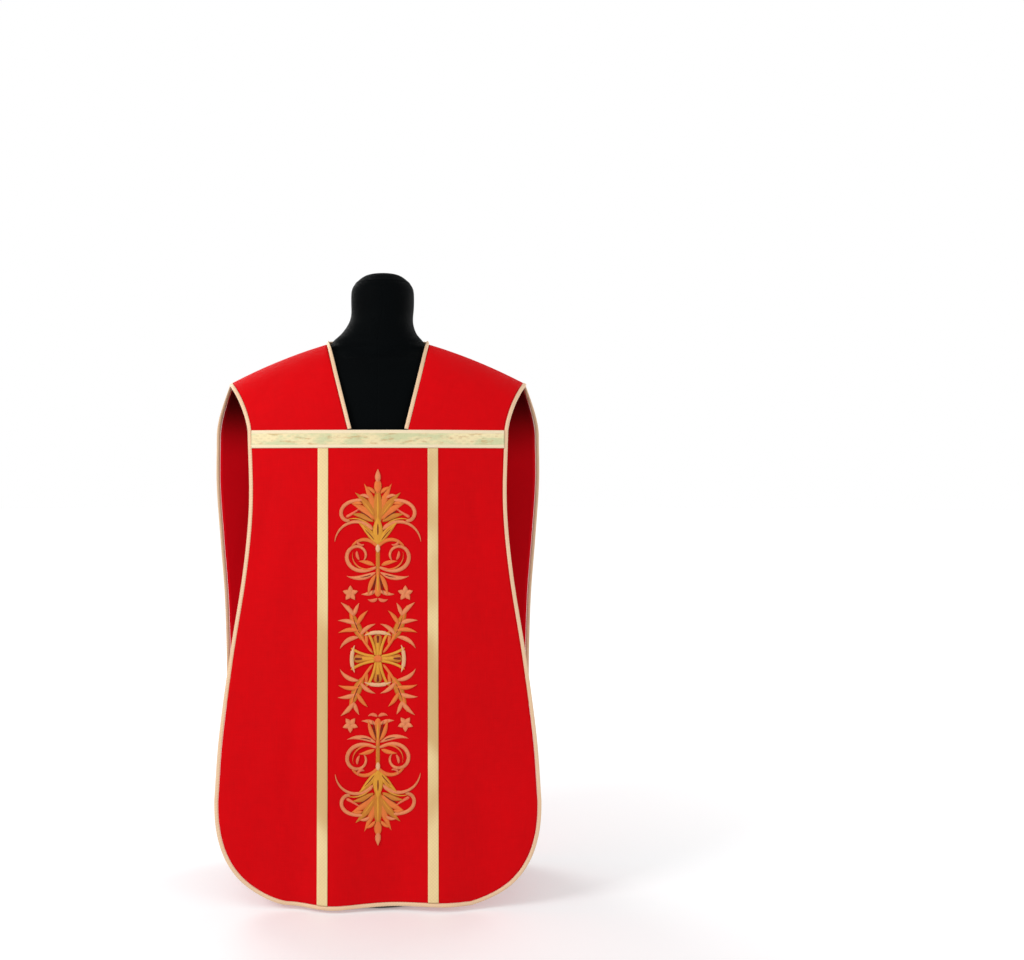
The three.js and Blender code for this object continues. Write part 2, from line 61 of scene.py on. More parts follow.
# Corners closer than this in metres become one, and edges sharper than this stay crisp
WELD = 1e-6
SHARP_EDGE = math.radians(35)


def srgb(red, green, blue):
    """A linear colour from the three numbers of a screen colour, 0 to 255."""
    shares = [channel / 255 for channel in (red, green, blue)]
    return tuple(s / 12.92 if s <= 0.04045 else ((s + 0.055) / 1.055) ** 2.4 for s in shares)


def mixed(a, b, share):
    """A value part of the way from a to b."""
    return a + (b - a) * share


def softened(share):
    """A share from 0 to 1 with a gentle start and end."""
    return share * share * (3 - 2 * share)


def unit(vectors):
    """Vectors brought to length 1."""
    return vectors / np.maximum(np.linalg.norm(vectors, axis=-1, keepdims=True), 1e-9)


def run_lengths(points, axis=0):
    """The distance along rows of points, from 0 at the first."""
    steps = np.linalg.norm(np.diff(points, axis=axis), axis=-1).cumsum(axis=axis)
    return np.concatenate([np.zeros_like(steps).take([0], axis), steps], axis=axis)


def whole_turn(steps):
    """Angles once round, in a row whose last meets its first."""
    return np.linspace(0, 2 * math.pi, steps + 1)[None, :]


# The cut of the garment, in millimetres as the maker's pattern has it

HALF_SEAM = 0.2
SEAM_GAP = 0.3
PANEL_WALL = 1.6
LINING_WALL = 0.8
GALLOON_WALL = 1.0

SHOULDER = SimpleNamespace(
    neck_x=97.0, neck_y=5.0, neck_z=1022.5, slope=0.29, droop=0.00062, backward=0.06, tip_x=276.0
)

Level = namedtuple("Level", "z y side_fall half")
CHEST = Level(852.0, -128.0, 25.0, 228.5)
FRONT_HEM = Level(17.5, -148.0, 20.0, 290.0)
BACK_TOP = Level(850.0, 122.0, 16.0, 313.0)
BACK_HEM = Level(30.0, 154.0, 14.0, 300.0)
FRONT_ROLL_END = math.radians(80)
BACK_ROLL_END = math.radians(85)
BACK_SETTLE = 4
BACK_FLARE = 0.7
YOKE_NECK_TAPER = 43.4
YOKE_FLARE = 1.45
FRONT_CORNER = SimpleNamespace(top=190.0, foot=14.0, straight=116.5, round=170.0, power=2.4)
BACK_CORNER = SimpleNamespace(top=132.0, foot=30.0, straight=204.0, round=92.0, power=2.0)
NAPE = SimpleNamespace(depth=61.0, rise=14.0, eased=0.12, reach=170.0)

# Heights up the sides, with half the panel's width at each
FRONT_SIDE = [(190, 286.5), (300, 279), (450, 259.5), (600, 236), (720, 225.5), (852, 228.5)]
BACK_SIDE = [(132, 296), (250, 297.5), (400, 297.5), (534, 301), (650, 309), (760, 315), (850, 313)]

Fold = namedtuple("Fold", "at reach out")
FRONT_FOLDS = [Fold(*row) for row in (
    (-215, 34, -5), (-150, 36, -6), (-82, 42, 10), (25, 42, -5), (118, 42, 7), (200, 38, -5),
)]
FRONT_DIP = Fold(-85, 80, 4)
FOLD_GROWTH, DIP_GROWTH = 1.3, 3
BACK_FOLDS = [Fold(*row) for row in (
    (-250, 34, 5), (-170, 40, -5), (-60, 44, 5), (55, 44, -4), (150, 42, 6), (240, 36, -4),
)]

# Soft creases, listed one by one: where, half length, half width, lean from upright and depth
Crease = namedtuple("Crease", "x z long wide lean deep")
FRONT_CREASES = [Crease(*row) for row in (
    (-196, 735, 120, 13, 8, -1.6), (-170, 640, 90, 16, 14, 1.3), (-150, 300, 150, 18, 10, -1.8),
    (-212, 210, 110, 20, 22, 1.6), (-40, 120, 90, 20, -6, -1.5), (60, 760, 100, 26, 3, 1.1),
    (176, 700, 130, 14, -9, -1.8), (205, 560, 100, 15, -13, 1.4), (158, 330, 160, 20, -8, -1.7),
    (232, 190, 100, 22, -20, 1.7), (150, 95, 70, 22, -12, -1.2), (-120, 470, 130, 22, 5, 1.0),
)]
YOKE_CREASES = [Crease(*row) for row in (
    (205, 925, 60, 11, -38, -1.3), (178, 905, 70, 13, -30, 1.1), (130, 950, 55, 16, -52, -1.0),
    (102, 900, 46, 12, 24, 0.8),
)]
BACK_CREASES = [Crease(*row) for row in (
    (-205, 880, 90, 20, 38, -1.8), (-250, 700, 120, 17, 10, 1.6), (-190, 430, 160, 24, 4, -2.0),
    (-235, 250, 120, 22, 12, 1.8), (-150, 150, 90, 24, -8, -1.5), (0, 1018, 18, 60, 0, -1.0),
    (190, 900, 95, 18, -42, -1.6), (240, 740, 110, 18, -8, 1.5), (200, 480, 150, 26, -5, -1.9),
    (165, 300, 130, 20, 6, 1.5), (245, 190, 90, 22, -16, -1.7),
)]

# How soon the creases come in: millimetres below the chest seam, and the rate down the back's roll
FRONT_CALM, BACK_CALM = 120, 2.5
YOKE_CREASE_FORWARD, YOKE_CREASE_UP = 0.8, 0.6

# Galloon and the cross
GALLOON_WIDE = 18.5
BAND_TOP, BAND_FOOT = 855.5, 823.5
STRIP_INNER, STRIP_OUTER = 89.0, 107.5
CROSS = SimpleNamespace(
    bar=105.0, top=1000.0, foot=74.0, arm=288.0, arm_top=794.0, arm_foot=585.0
)
BRAID_WIDE, BRAID_THICK = 7.5, 3.6
NECK_STAND = math.radians(50)
NECK_STAND_FADES = 60.0

REST_GAP = 2.8
NECK_LEAN = SimpleNamespace(start=1020.0, full=1090.0, aside=9.0)
NECK_RIM = SimpleNamespace(z=1137.0, high=0.9, reach=2.0)
CAP_SEAM = 1134.0


def shoulder_run(x):
    """How far out along the shoulder each place is from the neck point."""
    return np.maximum(np.abs(x) - SHOULDER.neck_x, 0)


def shoulder_z(x):
    """The height of the shoulder line."""
    run = shoulder_run(x)
    return SHOULDER.neck_z - SHOULDER.slope * run - SHOULDER.droop * run * run


def shoulder_y(x):
    """The depth of the shoulder line."""
    return SHOULDER.neck_y + SHOULDER.backward * shoulder_run(x)


def shoulder_x_at(z):
    """How far out the shoulder line has a given height."""
    root = math.sqrt(SHOULDER.slope**2 + 4 * SHOULDER.droop * (SHOULDER.neck_z - z))
    return SHOULDER.neck_x + (root - SHOULDER.slope) / (2 * SHOULDER.droop)


def smooth_through(keys, values, at):
    """A smooth curve through values given at rising keys."""
    keys, values = np.asarray(keys, float), np.asarray(values, float)
    slopes = np.empty(len(keys))
    slopes[1:-1] = (values[2:] - values[:-2]) / (keys[2:] - keys[:-2])
    slopes[0] = (values[1] - values[0]) / (keys[1] - keys[0])
    slopes[-1] = (values[-1] - values[-2]) / (keys[-1] - keys[-2])
    i = np.clip(np.searchsorted(keys, at) - 1, 0, len(keys) - 2)
    step = keys[i + 1] - keys[i]
    t = (at - keys[i]) / step
    bend = softened(t)
    leave = t * (1 - t) ** 2 * step * slopes[i]
    arrive = t * t * (t - 1) * step * slopes[i + 1]
    return values[i] * (1 - bend) + values[i + 1] * bend + leave + arrive


def bowed(level, x):
    """The depth of a level of cloth, which falls back towards the body at its sides."""
    return level.y - math.copysign(level.side_fall, level.y) * (x / level.half) ** 2


def folded(folds, x):
    """How far the long folds push the cloth out."""
    return sum(fold.out * np.exp(-(((x - fold.at) / fold.reach) ** 2)) for fold in folds)


def creased(creases, x, z):
    """How far the soft creases push the cloth out."""
    out = 0
    for crease in creases:
        lean = math.radians(crease.lean)
        dx, dz = x - crease.x, z - crease.z
        along = dz * math.cos(lean) + dx * math.sin(lean)
        across = dx * math.cos(lean) - dz * math.sin(lean)
        out = out + crease.deep * np.exp(-((across / crease.wide) ** 2) - (along / crease.long) ** 2)
    return out


def roll_reach(drop, end):
    """How far out cloth has come when it has dropped by a share of its roll over the shoulder."""
    angle = np.arccos(1 - drop * (1 - math.cos(end)))
    return np.sin(angle) / math.sin(end)


def half_width(sides, corner, z):
    """Half the width of a panel at each height: smooth down its side, then round its hem corner."""
    side = smooth_through(*zip(*sides), z)
    fall = np.clip((corner.top - z) / (corner.top - corner.foot), 0, 1)
    rounded = corner.straight + corner.round * (1 - fall**corner.power) ** (1 / corner.power)
    return np.where(z >= corner.top, side, rounded)


def front_point(x, z):
    """The front panel's surface, midway through its wall."""
    fall = np.maximum((CHEST.z - z) / (CHEST.z - FRONT_HEM.z), 0)
    plain = mixed(bowed(CHEST, x), bowed(FRONT_HEM, x), fall)
    dip = folded([FRONT_DIP], x) * fall**DIP_GROWTH
    calm = np.clip((CHEST.z - z) / FRONT_CALM, 0, 1)
    out = folded(FRONT_FOLDS, x) * fall**FOLD_GROWTH + creased(FRONT_CREASES, x, z) * calm
    return np.stack([x, plain - out, z - dip], -1)


def yoke_inner(drop):
    """The neckline edge of a yoke."""
    return SHOULDER.neck_x - YOKE_NECK_TAPER * drop


def yoke_outer(drop):
    """The armhole edge of a yoke."""
    return CHEST.half + (SHOULDER.tip_x - CHEST.half) * (1 - drop) ** YOKE_FLARE


def yoke_point(x, drop):
    """A yoke's surface, by how far it has dropped from the shoulder to the chest seam."""
    reach = roll_reach(drop, FRONT_ROLL_END)
    y = mixed(shoulder_y(x) - HALF_SEAM, bowed(CHEST, x), reach)
    z = mixed(shoulder_z(x), CHEST.z + HALF_SEAM, drop)
    calm = np.clip(4 * drop * (1 - drop), 0, 1)
    out = creased(YOKE_CREASES, np.abs(x), z) * calm
    return np.stack([x, y - out * YOKE_CREASE_FORWARD, z + out * YOKE_CREASE_UP * (1 - drop)], -1)


def back_upper_half(drop):
    """Half the width of the back panel from the shoulder down to the shoulder blades."""
    return SHOULDER.tip_x + (BACK_TOP.half - SHOULDER.tip_x) * np.sin(drop * math.pi / 2) ** BACK_FLARE


def back_top(x):
    """The depth and height of the back's upper edge: round the nape, then along the shoulder."""
    across = np.minimum(np.abs(x) / SHOULDER.neck_x, 1)
    rounded = 1 - across**2
    y = shoulder_y(x) + HALF_SEAM + NAPE.depth * np.sqrt(rounded)
    return y, shoulder_z(x) + NAPE.rise * rounded


def back_dropped(x, drop):
    """The back's surface above the shoulder blades, by its drop from the upper edge.

    Just below the neckline it eases from the neckline's curve to a wider, softer one.
    """
    top_y, top_z = back_top(x)
    z = mixed(top_z, BACK_TOP.z, drop)
    wave = np.cos(math.pi * np.minimum(np.abs(x) / NAPE.reach, 1))
    soft = shoulder_y(x) + HALF_SEAM + NAPE.depth * (1 + wave) / 2
    share = np.minimum(drop / NAPE.eased, 1)
    start = mixed(top_y, soft, softened(share))
    y = mixed(start, bowed(BACK_TOP, x), roll_reach(drop, BACK_ROLL_END))
    calm = np.clip(drop * BACK_CALM, 0, 1)
    return np.stack([x, y + creased(BACK_CREASES, x, z) * calm, z], -1)


def back_point(x, z):
    """The back panel's surface at any height."""
    _, top_z = back_top(x)
    drop = np.clip((top_z - z) / (top_z - BACK_TOP.z), 0, 1)
    upper = back_dropped(x, drop)
    fall = np.maximum((BACK_TOP.z - z) / (BACK_TOP.z - BACK_HEM.z), 0)
    settled = 1 - (1 - fall) ** BACK_SETTLE
    plain = mixed(bowed(BACK_TOP, x), bowed(BACK_HEM, x), settled)
    out = folded(BACK_FOLDS, x) * fall**FOLD_GROWTH + creased(BACK_CREASES, x, z)
    lower = np.stack([x, plain + out, z], -1)
    return np.where((z > BACK_TOP.z)[..., None], upper, lower)


def outward(surface, a, b, flip=1, step=0.5):
    """The direction out of a surface at each place, from its slope both ways."""
    along = surface(a + step, b) - surface(a - step, b)
    down = surface(a, b + step) - surface(a, b - step)
    return unit(np.cross(along, down) * flip)


# Cloth as rows of points, laid out as it is seen from its face

Cloth = namedtuple("Cloth", "points normals")


def cloth_over(points):
    """Rows of points with the direction out of the cloth at each."""
    return Cloth(points, unit(np.cross(np.gradient(points, axis=0), np.gradient(points, axis=1))))


def roll_drops(end, rows):
    """How far each row of cloth has dropped in its roll over the shoulder, evenly along the roll."""
    angle = np.linspace(0, end, rows + 1)
    return ((1 - np.cos(angle)) / (1 - math.cos(end)))[:, None]


def front_heights(straight_rows=120, corner_rows=52):
    """Row heights of the front panel, close together round its hem corners."""
    corner = FRONT_CORNER
    lowest = ((corner.top - FRONT_HEM.z) / (corner.top - corner.foot)) ** (corner.power / 2)
    turn = np.linspace(0, math.asin(lowest), corner_rows)
    fall = np.sin(turn) ** (2 / corner.power)
    rounded = corner.top - fall * (corner.top - corner.foot)
    return np.concatenate([np.linspace(CHEST.z, corner.top, straight_rows)[:-1], rounded])


@functools.cache
def front_cloth(columns=124):
    """The front panel from the chest seam to the hem."""
    z = front_heights()[:, None]
    x = half_width(FRONT_SIDE, FRONT_CORNER, z) * np.linspace(-1, 1, columns + 1)[None, :]
    points = front_point(x, z + 0 * x)
    points[0, :, 2] -= HALF_SEAM
    return cloth_over(points)


@functools.cache
def yoke_cloth(side, rows=64, columns=44):
    """A yoke from the shoulder seam to the chest seam."""
    drop = roll_drops(FRONT_ROLL_END, rows)
    share = np.linspace(0, 1, columns + 1)[None, :]
    edges = (yoke_inner(drop), yoke_outer(drop))
    left, right = edges if side > 0 else (-edges[1], -edges[0])
    x = mixed(left, right, share)
    return cloth_over(yoke_point(x, drop + 0 * x))


def back_columns(half, drop, middle=24, outer=38):
    """Places across the back, spread evenly round the neckline at its top."""
    turn = np.linspace(0, 1, middle + 1)[None, :]
    level = np.clip(drop * 3, 0, 1)
    inner = SHOULDER.neck_x * mixed(np.sin(turn * math.pi / 2), turn, level)
    rest = mixed(SHOULDER.neck_x, half, np.linspace(0, 1, outer + 1)[None, 1:])
    right = np.concatenate([inner, rest], axis=1)
    return np.concatenate([right[:, ::-1], -right[:, 1:]], axis=1)


@functools.cache
def back_cloth(upper_rows=76, straight_rows=110, corner_rows=26):
    """The back panel from the neckline and shoulders to the hem, as it is seen from behind."""
    drop = roll_drops(BACK_ROLL_END, upper_rows)
    upper_x = back_columns(back_upper_half(drop), drop)
    upper = back_dropped(upper_x, drop + 0 * upper_x)
    turn = np.linspace(0, math.pi / 2, corner_rows)
    corner = BACK_CORNER.top - np.sin(turn) * (BACK_CORNER.top - BACK_HEM.z)
    straight = np.linspace(BACK_TOP.z, BACK_CORNER.top, straight_rows)[1:-1]
    z = np.concatenate([straight, corner])[:, None]
    lower_x = back_columns(half_width(BACK_SIDE, BACK_CORNER, z), np.ones_like(z))
    return cloth_over(np.concatenate([upper, back_point(lower_x, z + 0 * lower_x)]))


def lay_grid(bm, points, closed=False):
    """Makes a grid of faces over rows of points, with its arc lengths in metres as its UV map."""
    rows, columns = points.shape[:2]
    made = bmesh.ops.create_grid(bm, x_segments=columns - 1, y_segments=rows - 1, size=0.5)["verts"]
    across, down = run_lengths(points, axis=1), run_lengths(points)
    if not closed:
        across = across - across[:, columns // 2, None]
    spots = {}
    for vert in made:
        row = round((0.5 - vert.co.y) * (rows - 1))
        column = round((vert.co.x + 0.5) * (columns - 1))
        spots[vert] = (row, column)
        vert.co = Vector(points[row, column] * MM)
    layer = bm.loops.layers.uv.get("UVMap") or bm.loops.layers.uv.new("UVMap")
    faces = {face for vert in made for face in vert.link_faces}
    for face in faces:
        face.smooth = True
        for loop in face.loops:
            row, column = spots[loop.vert]
            loop[layer].uv = (across[row, column] * MM, down[row, column] * MM)
    return faces


def placed(name, data):
    """A new object of the scene."""
    thing = bpy.data.objects.new(name, data)
    bpy.context.scene.collection.objects.link(thing)
    return thing


def mesh_object(name, bm, materials):
    """Turns a finished mesh into an object with its materials."""
    mesh = bpy.data.meshes.new(name)
    bm.to_mesh(mesh)
    bm.free()
    for material in materials:
        mesh.materials.append(material)
    return placed(name, mesh)


def finished_piece(name, bm, materials, node=None):
    """Turns a mesh into a piece that rides on the part, in place of the part's own node if it has one."""
    piece = mesh_object(name, bm, materials)
    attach(piece, BODY)
    if node:
        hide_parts(node)
    return piece


def give_wall(piece, thickness, other_face=False):
    """Gives a sheet its real thickness about its middle."""
    wall = piece.modifiers.new("wall", "SOLIDIFY")
    wall.thickness = thickness * MM
    wall.offset = 0
    wall.material_offset = 1 if other_face else 0


def flat_size(points):
    """The width, length and area in metres of the flat cloth that a sheet was cut from."""
    width = run_lengths(points, axis=1)[:, -1].max()
    length = run_lengths(points)[-1, points.shape[1] // 2]
    across, down = np.diff(points, axis=1), np.diff(points, axis=0)
    cells = np.linalg.norm(np.cross(across[:-1], down[:, :-1]), axis=-1)
    return (width * MM, length * MM), cells.sum() * MM * MM


def sheet_piece(name, points, materials, node, thickness, other_face=False):
    """A sheet of cloth over rows of points, with its real thickness."""
    bm = bmesh.new()
    lay_grid(bm, points)
    give_wall(finished_piece(name, bm, materials, node), thickness, other_face)


# Ribbons: galloon laid on the cloth

GALLOON_LIFT = PANEL_WALL / 2 + SEAM_GAP + GALLOON_WALL / 2
RELIEF = SimpleNamespace(selvedge=0.25, at=0.9, wide=0.07, crown=0.12)


def chest_point(x, z):
    """The cloth across the chest seam, from the yokes above it to the panel below."""
    top = shoulder_z(x)
    drop = np.clip((top - z) / (top - CHEST.z - HALF_SEAM), 0, 1)
    above = yoke_point(x, drop)
    above[..., 2] = z
    return np.where((z > CHEST.z)[..., None], above, front_point(x, np.minimum(z, CHEST.z)))


def laid_on(surface, x, z, flip, lift):
    """Points lifted off a surface along its outward direction."""
    return surface(x, z) + outward(surface, x, z, flip) * np.asarray(lift)[..., None]


def ribbon_relief(share):
    """The height of a galloon across its width: a raised selvedge at each side and a low crown."""
    edge = np.abs(share * 2 - 1)
    selvedge = RELIEF.selvedge * np.exp(-(((edge - RELIEF.at) / RELIEF.wide) ** 2))
    return selvedge + RELIEF.crown * (1 - edge**2)


def strip_points(surface, ends, flip, across=10, step=3.0, lift=GALLOON_LIFT):
    """A straight strip of galloon between four corners: start left, start right, end left, end right."""
    (x0, z0), (x1, z1), (x2, z2), (x3, z3) = ends
    length = max(math.dist(ends[0], ends[2]), math.dist(ends[1], ends[3]))
    rows = np.linspace(0, 1, max(int(length / step), 2) + 1)[:, None]
    share = np.linspace(0, 1, across + 1)[None, :]
    x = mixed(mixed(x0, x1, share), mixed(x2, x3, share), rows)
    z = mixed(mixed(z0, z1, share), mixed(z2, z3, share), rows)
    return laid_on(surface, x, z, flip, lift + ribbon_relief(share) + 0 * x)


# The cross on the back, as mitred strips whose left side is the outline

MITRE_WELD = 1e-5


def cross_outline(inset):
    """The corners of the cross, drawn in by an inset, in order round it as seen from behind."""
    bar, arm = CROSS.bar - inset, CROSS.arm - inset
    top, foot = CROSS.top - inset, CROSS.foot + inset
    arm_top, arm_foot = CROSS.arm_top - inset, CROSS.arm_foot + inset
    right = [(bar, top), (bar, arm_top), (arm, arm_top), (arm, arm_foot), (bar, arm_foot), (bar, foot)]
    left = [(-x, z) for x, z in reversed(right)]
    return right + left


# Braid swept along the free edges

Run = namedtuple("Run", "points normals offs lengths")
BRAID_STEP = 1.25
CLOSEST_STOPS = 0.3
PLACE_EASING, NORMAL_EASING = 5, 13
PLAIT = 5.0

# The braid's section: a low lens, slanting strands on its faces and a groove down its middle
LENS = SimpleNamespace(side=0.8, curve=0.72, edge=0.45)
STRAND = SimpleNamespace(slant=0.45, power=0.7, deep=0.2)
GROOVE = SimpleNamespace(wide=0.16, deep=0.12)
BRAID_WAIST = 0.04


def edge_of(cloth, place):
    """The points of a cloth's edge and the directions out of it, by their place in the rows."""
    return cloth.points[place], cloth.normals[place]


def edge_run(pieces, side, stand=False):
    """Evenly spaced stops along edges of cloth, with the way out and the way off the cloth."""
    points, normals = (np.concatenate(rows) for rows in zip(*pieces))
    keep = np.concatenate([[True], np.linalg.norm(np.diff(points, axis=0), axis=1) > CLOSEST_STOPS])
    points, normals = points[keep], normals[keep]
    lengths = run_lengths(points)
    at = np.linspace(0, lengths[-1], int(lengths[-1] / BRAID_STEP) + 1)
    points, normals = (
        eased(np.stack([np.interp(at, lengths, column) for column in rows.T], -1), width)
        for rows, width in ((points, PLACE_EASING), (normals, NORMAL_EASING))
    )
    along = unit(np.gradient(points, axis=0))
    offs = unit(np.cross(along, normals) * side)
    normals = unit(np.cross(offs, along) * side)
    if stand:
        share = np.clip((points[:, 2:] - SHOULDER.neck_z + NECK_STAND_FADES) / NECK_STAND_FADES, 0, 1)
        cos, sin = np.cos(NECK_STAND * share), np.sin(NECK_STAND * share)
        offs, normals = offs * cos + normals * sin, normals * cos - offs * sin
        points = points + offs * (PANEL_WALL / 2) * sin
    return Run(points, normals, offs, at)


def eased(rows, width):
    """Rows of vectors smoothed along their run, with its ends kept."""
    reach = width // 2
    padded = np.concatenate([
        2 * rows[0] - rows[reach:0:-1], rows, 2 * rows[-1] - rows[-2:-reach - 2:-1]
    ])
    kernel = np.hanning(width + 2)[1:-1]
    kernel /= kernel.sum()
    return np.stack([np.convolve(padded[:, i], kernel, "valid") for i in range(3)], -1)


def braid_points(run, around=14):
    """A flat plaited braid beside its edge."""
    cos, sin = np.cos(whole_turn(around)), np.sin(whole_turn(around))
    across = np.sign(cos) * np.abs(cos) ** LENS.side
    lens = BRAID_THICK / 2 * np.sqrt(np.maximum(1 - LENS.curve * across**2, 0))
    body = lens * np.sign(sin) * np.abs(sin) ** LENS.edge
    phase = run.lengths[:, None] / PLAIT
    strand = np.abs(np.sin(math.pi * (phase + STRAND.slant * np.abs(across)))) ** STRAND.power
    groove = np.exp(-((across / GROOVE.wide) ** 2))
    up = body * (1 - STRAND.deep + STRAND.deep * strand - GROOVE.deep * groove)
    aside = BRAID_WIDE / 2 * across * (1 - BRAID_WAIST + BRAID_WAIST * np.cos(2 * math.pi * phase))
    middle = run.points + run.offs * (SEAM_GAP + BRAID_WIDE / 2)
    return middle[:, None] + run.offs[:, None] * aside[..., None] + run.normals[:, None] * up[..., None]


def tube_piece(name, points, materials, node):
    """A closed piece through rings of points whose last column meets the first."""
    bm = bmesh.new()
    lay_grid(bm, points, closed=True)
    bmesh.ops.remove_doubles(bm, verts=bm.verts, dist=WELD)
    close_ends(bm)
    finished_piece(name, bm, materials, node)


def close_ends(bm):
    """Fills the open ends of a tube and turns all its faces outwards."""
    rims = [edge for edge in bm.edges if edge.is_boundary]
    ends = bmesh.ops.holes_fill(bm, edges=rims, sides=0)["faces"]
    bmesh.ops.recalc_face_normals(bm, faces=bm.faces)
    for face in ends:
        face.smooth = False


# Dress form and its stand

def form_sections():
    """Sections of the dress form: height, half width, front, back, middle and how square each is."""
    shoulder = {z: shoulder_x_at(z + REST_GAP) for z in (990, 1000, 1010)}
    return [
        (436, 155, -96, 99, 0, 2.2), (440, 164, -102, 105, 0, 2.2), (450, 168, -104, 107, 0, 2.2),
        (480, 168, -106, 108, 0, 2.2), (520, 164, -107, 106, 0, 2.2), (560, 156, -105, 101, 0, 2.2),
        (600, 145, -102, 95, 0, 2.2), (640, 138, -98, 91, 0, 2.2), (680, 139, -98, 91, 0, 2.2),
        (720, 148, -103, 94, 0, 2.2), (760, 158, -112, 98, 0, 2.2), (800, 164, -120, 103, 0, 2.2),
        (830, 167, -122, 106, 1, 2.2), (860, 171, -120, 107, 2, 2.2), (900, 181, -113, 104, 4, 2.1),
        (930, 190, -105, 99, 6, 2), (960, 197, -92, 90, 9, 1.9), (980, 193, -80, 80, 11, 1.8),
        (990, shoulder[990], -74, 74, 10, 1.6), (1000, shoulder[1000], -67, 68, 8.6, 1.5),
        (1010, shoulder[1010], -63, 60, 7, 1.45), (1020, 93.5, -62, 57, 5, 1.9),
        (1030, 84.5, -62, 57, 3, 2), (1043, 71.5, -62, 57, 0, 2), (1059, 62.5, -62, 56, -3, 2),
        (1075, 59, -61, 50, -6, 2), (1100, 59.5, -66, 43, -11, 2), (1118, 59, -69, 42, -14, 2),
        (1128, 56.5, -68, 40, -14, 2), (1136, 51, -63, 35, -14, 2), (1143, 44, -57, 29, -14, 2),
        (1148, 37, -51, 23, -14, 2), (1151.5, 29, -43, 15, -14, 2), (1154, 16, -30, 2, -14, 2),
    ]


def form_points(around=144, between=5):
    """Rings of the dress form, smooth between its sections."""
    sections = form_sections()
    keys = np.arange(len(sections))
    fine = np.linspace(0, keys[-1], keys[-1] * between + 1)
    z, half, front, back, mid, power = (
        smooth_through(keys, column, fine)[:, None] for column in zip(*sections)
    )
    rim = NECK_RIM.high * np.exp(-(((z - NECK_RIM.z) / NECK_RIM.reach) ** 2))
    half, front, back = half + rim, front - rim, back + rim
    turn = whole_turn(around)
    across, along = (np.sign(part) * np.abs(part) ** (2 / power) for part in (np.cos(turn), np.sin(turn)))
    share = np.clip((z - NECK_LEAN.start) / (NECK_LEAN.full - NECK_LEAN.start), 0, 1)
    aside = NECK_LEAN.aside * softened(share)
    depth = np.where(along < 0, mid - front, back - mid)
    return np.stack([aside + half * across, mid + depth * along, z + 0 * across], -1)


POLE_PROFILE = [
    (0, 22.3), (11.7, 22.3), (12.5, 23.1), (12.5, 246), (13.6, 247.5), (13.6, 262), (12.5, 263.5),
    (12.5, 434.9), (11.7, 435.7), (0, 435.7),
]
BASE_PROFILE = [
    (0, 0), (127, 0), (129.2, 0.8), (130, 2.4), (130, 5.6), (129.2, 7.6), (127, 10.2),
    (124, 11.6), (120, 12), (31, 12), (28.6, 12.5), (27.2, 13.8), (23.4, 20.4), (21.6, 21.8),
    (19.5, 22), (0, 22),
]


def spun_piece(name, profile, materials, node, steps=96):
    """A piece turned about the upright axis from half its outline."""
    bm = bmesh.new()
    corners = [bm.verts.new((radius * MM, 0, height * MM)) for radius, height in profile]
    sides = [bm.edges.new(pair) for pair in zip(corners, corners[1:])]
    bmesh.ops.spin(
        bm, geom=corners + sides, axis=(0, 0, 1), cent=(0, 0, 0),
        steps=steps, angle=2 * math.pi, use_merge=True,
    )
    bmesh.ops.remove_doubles(bm, verts=bm.verts, dist=WELD)
    bmesh.ops.recalc_face_normals(bm, faces=bm.faces)
    for face in bm.faces:
        face.smooth = True
    piece = finished_piece(name, bm, materials, node)
    piece.data.set_sharp_from_angle(angle=SHARP_EDGE)


# Shader sums

# Where a Mix node set to colours has its factor, its two colours and its result
COLOUR_MIX_INPUTS = (0, 6, 7)
COLOUR_MIX_RESULT = 2


def sum_of(operation):
    """A method that does a sum of two numbers with a Math node."""
    return lambda self, other: self.finish.math(operation, self, other)


class Reading:
    """A number that varies over a surface; sums on it add Math nodes."""

    __add__ = __radd__ = sum_of("ADD")
    __mul__ = __rmul__ = sum_of("MULTIPLY")
    __sub__ = sum_of("SUBTRACT")
    __truediv__ = sum_of("DIVIDE")

    def __init__(self, finish, socket):
        self.finish, self.socket = finish, socket

    def __rsub__(self, other):
        return self.finish.math("SUBTRACT", other, self)

    def __abs__(self):
        return self.finish.math("ABSOLUTE", self)


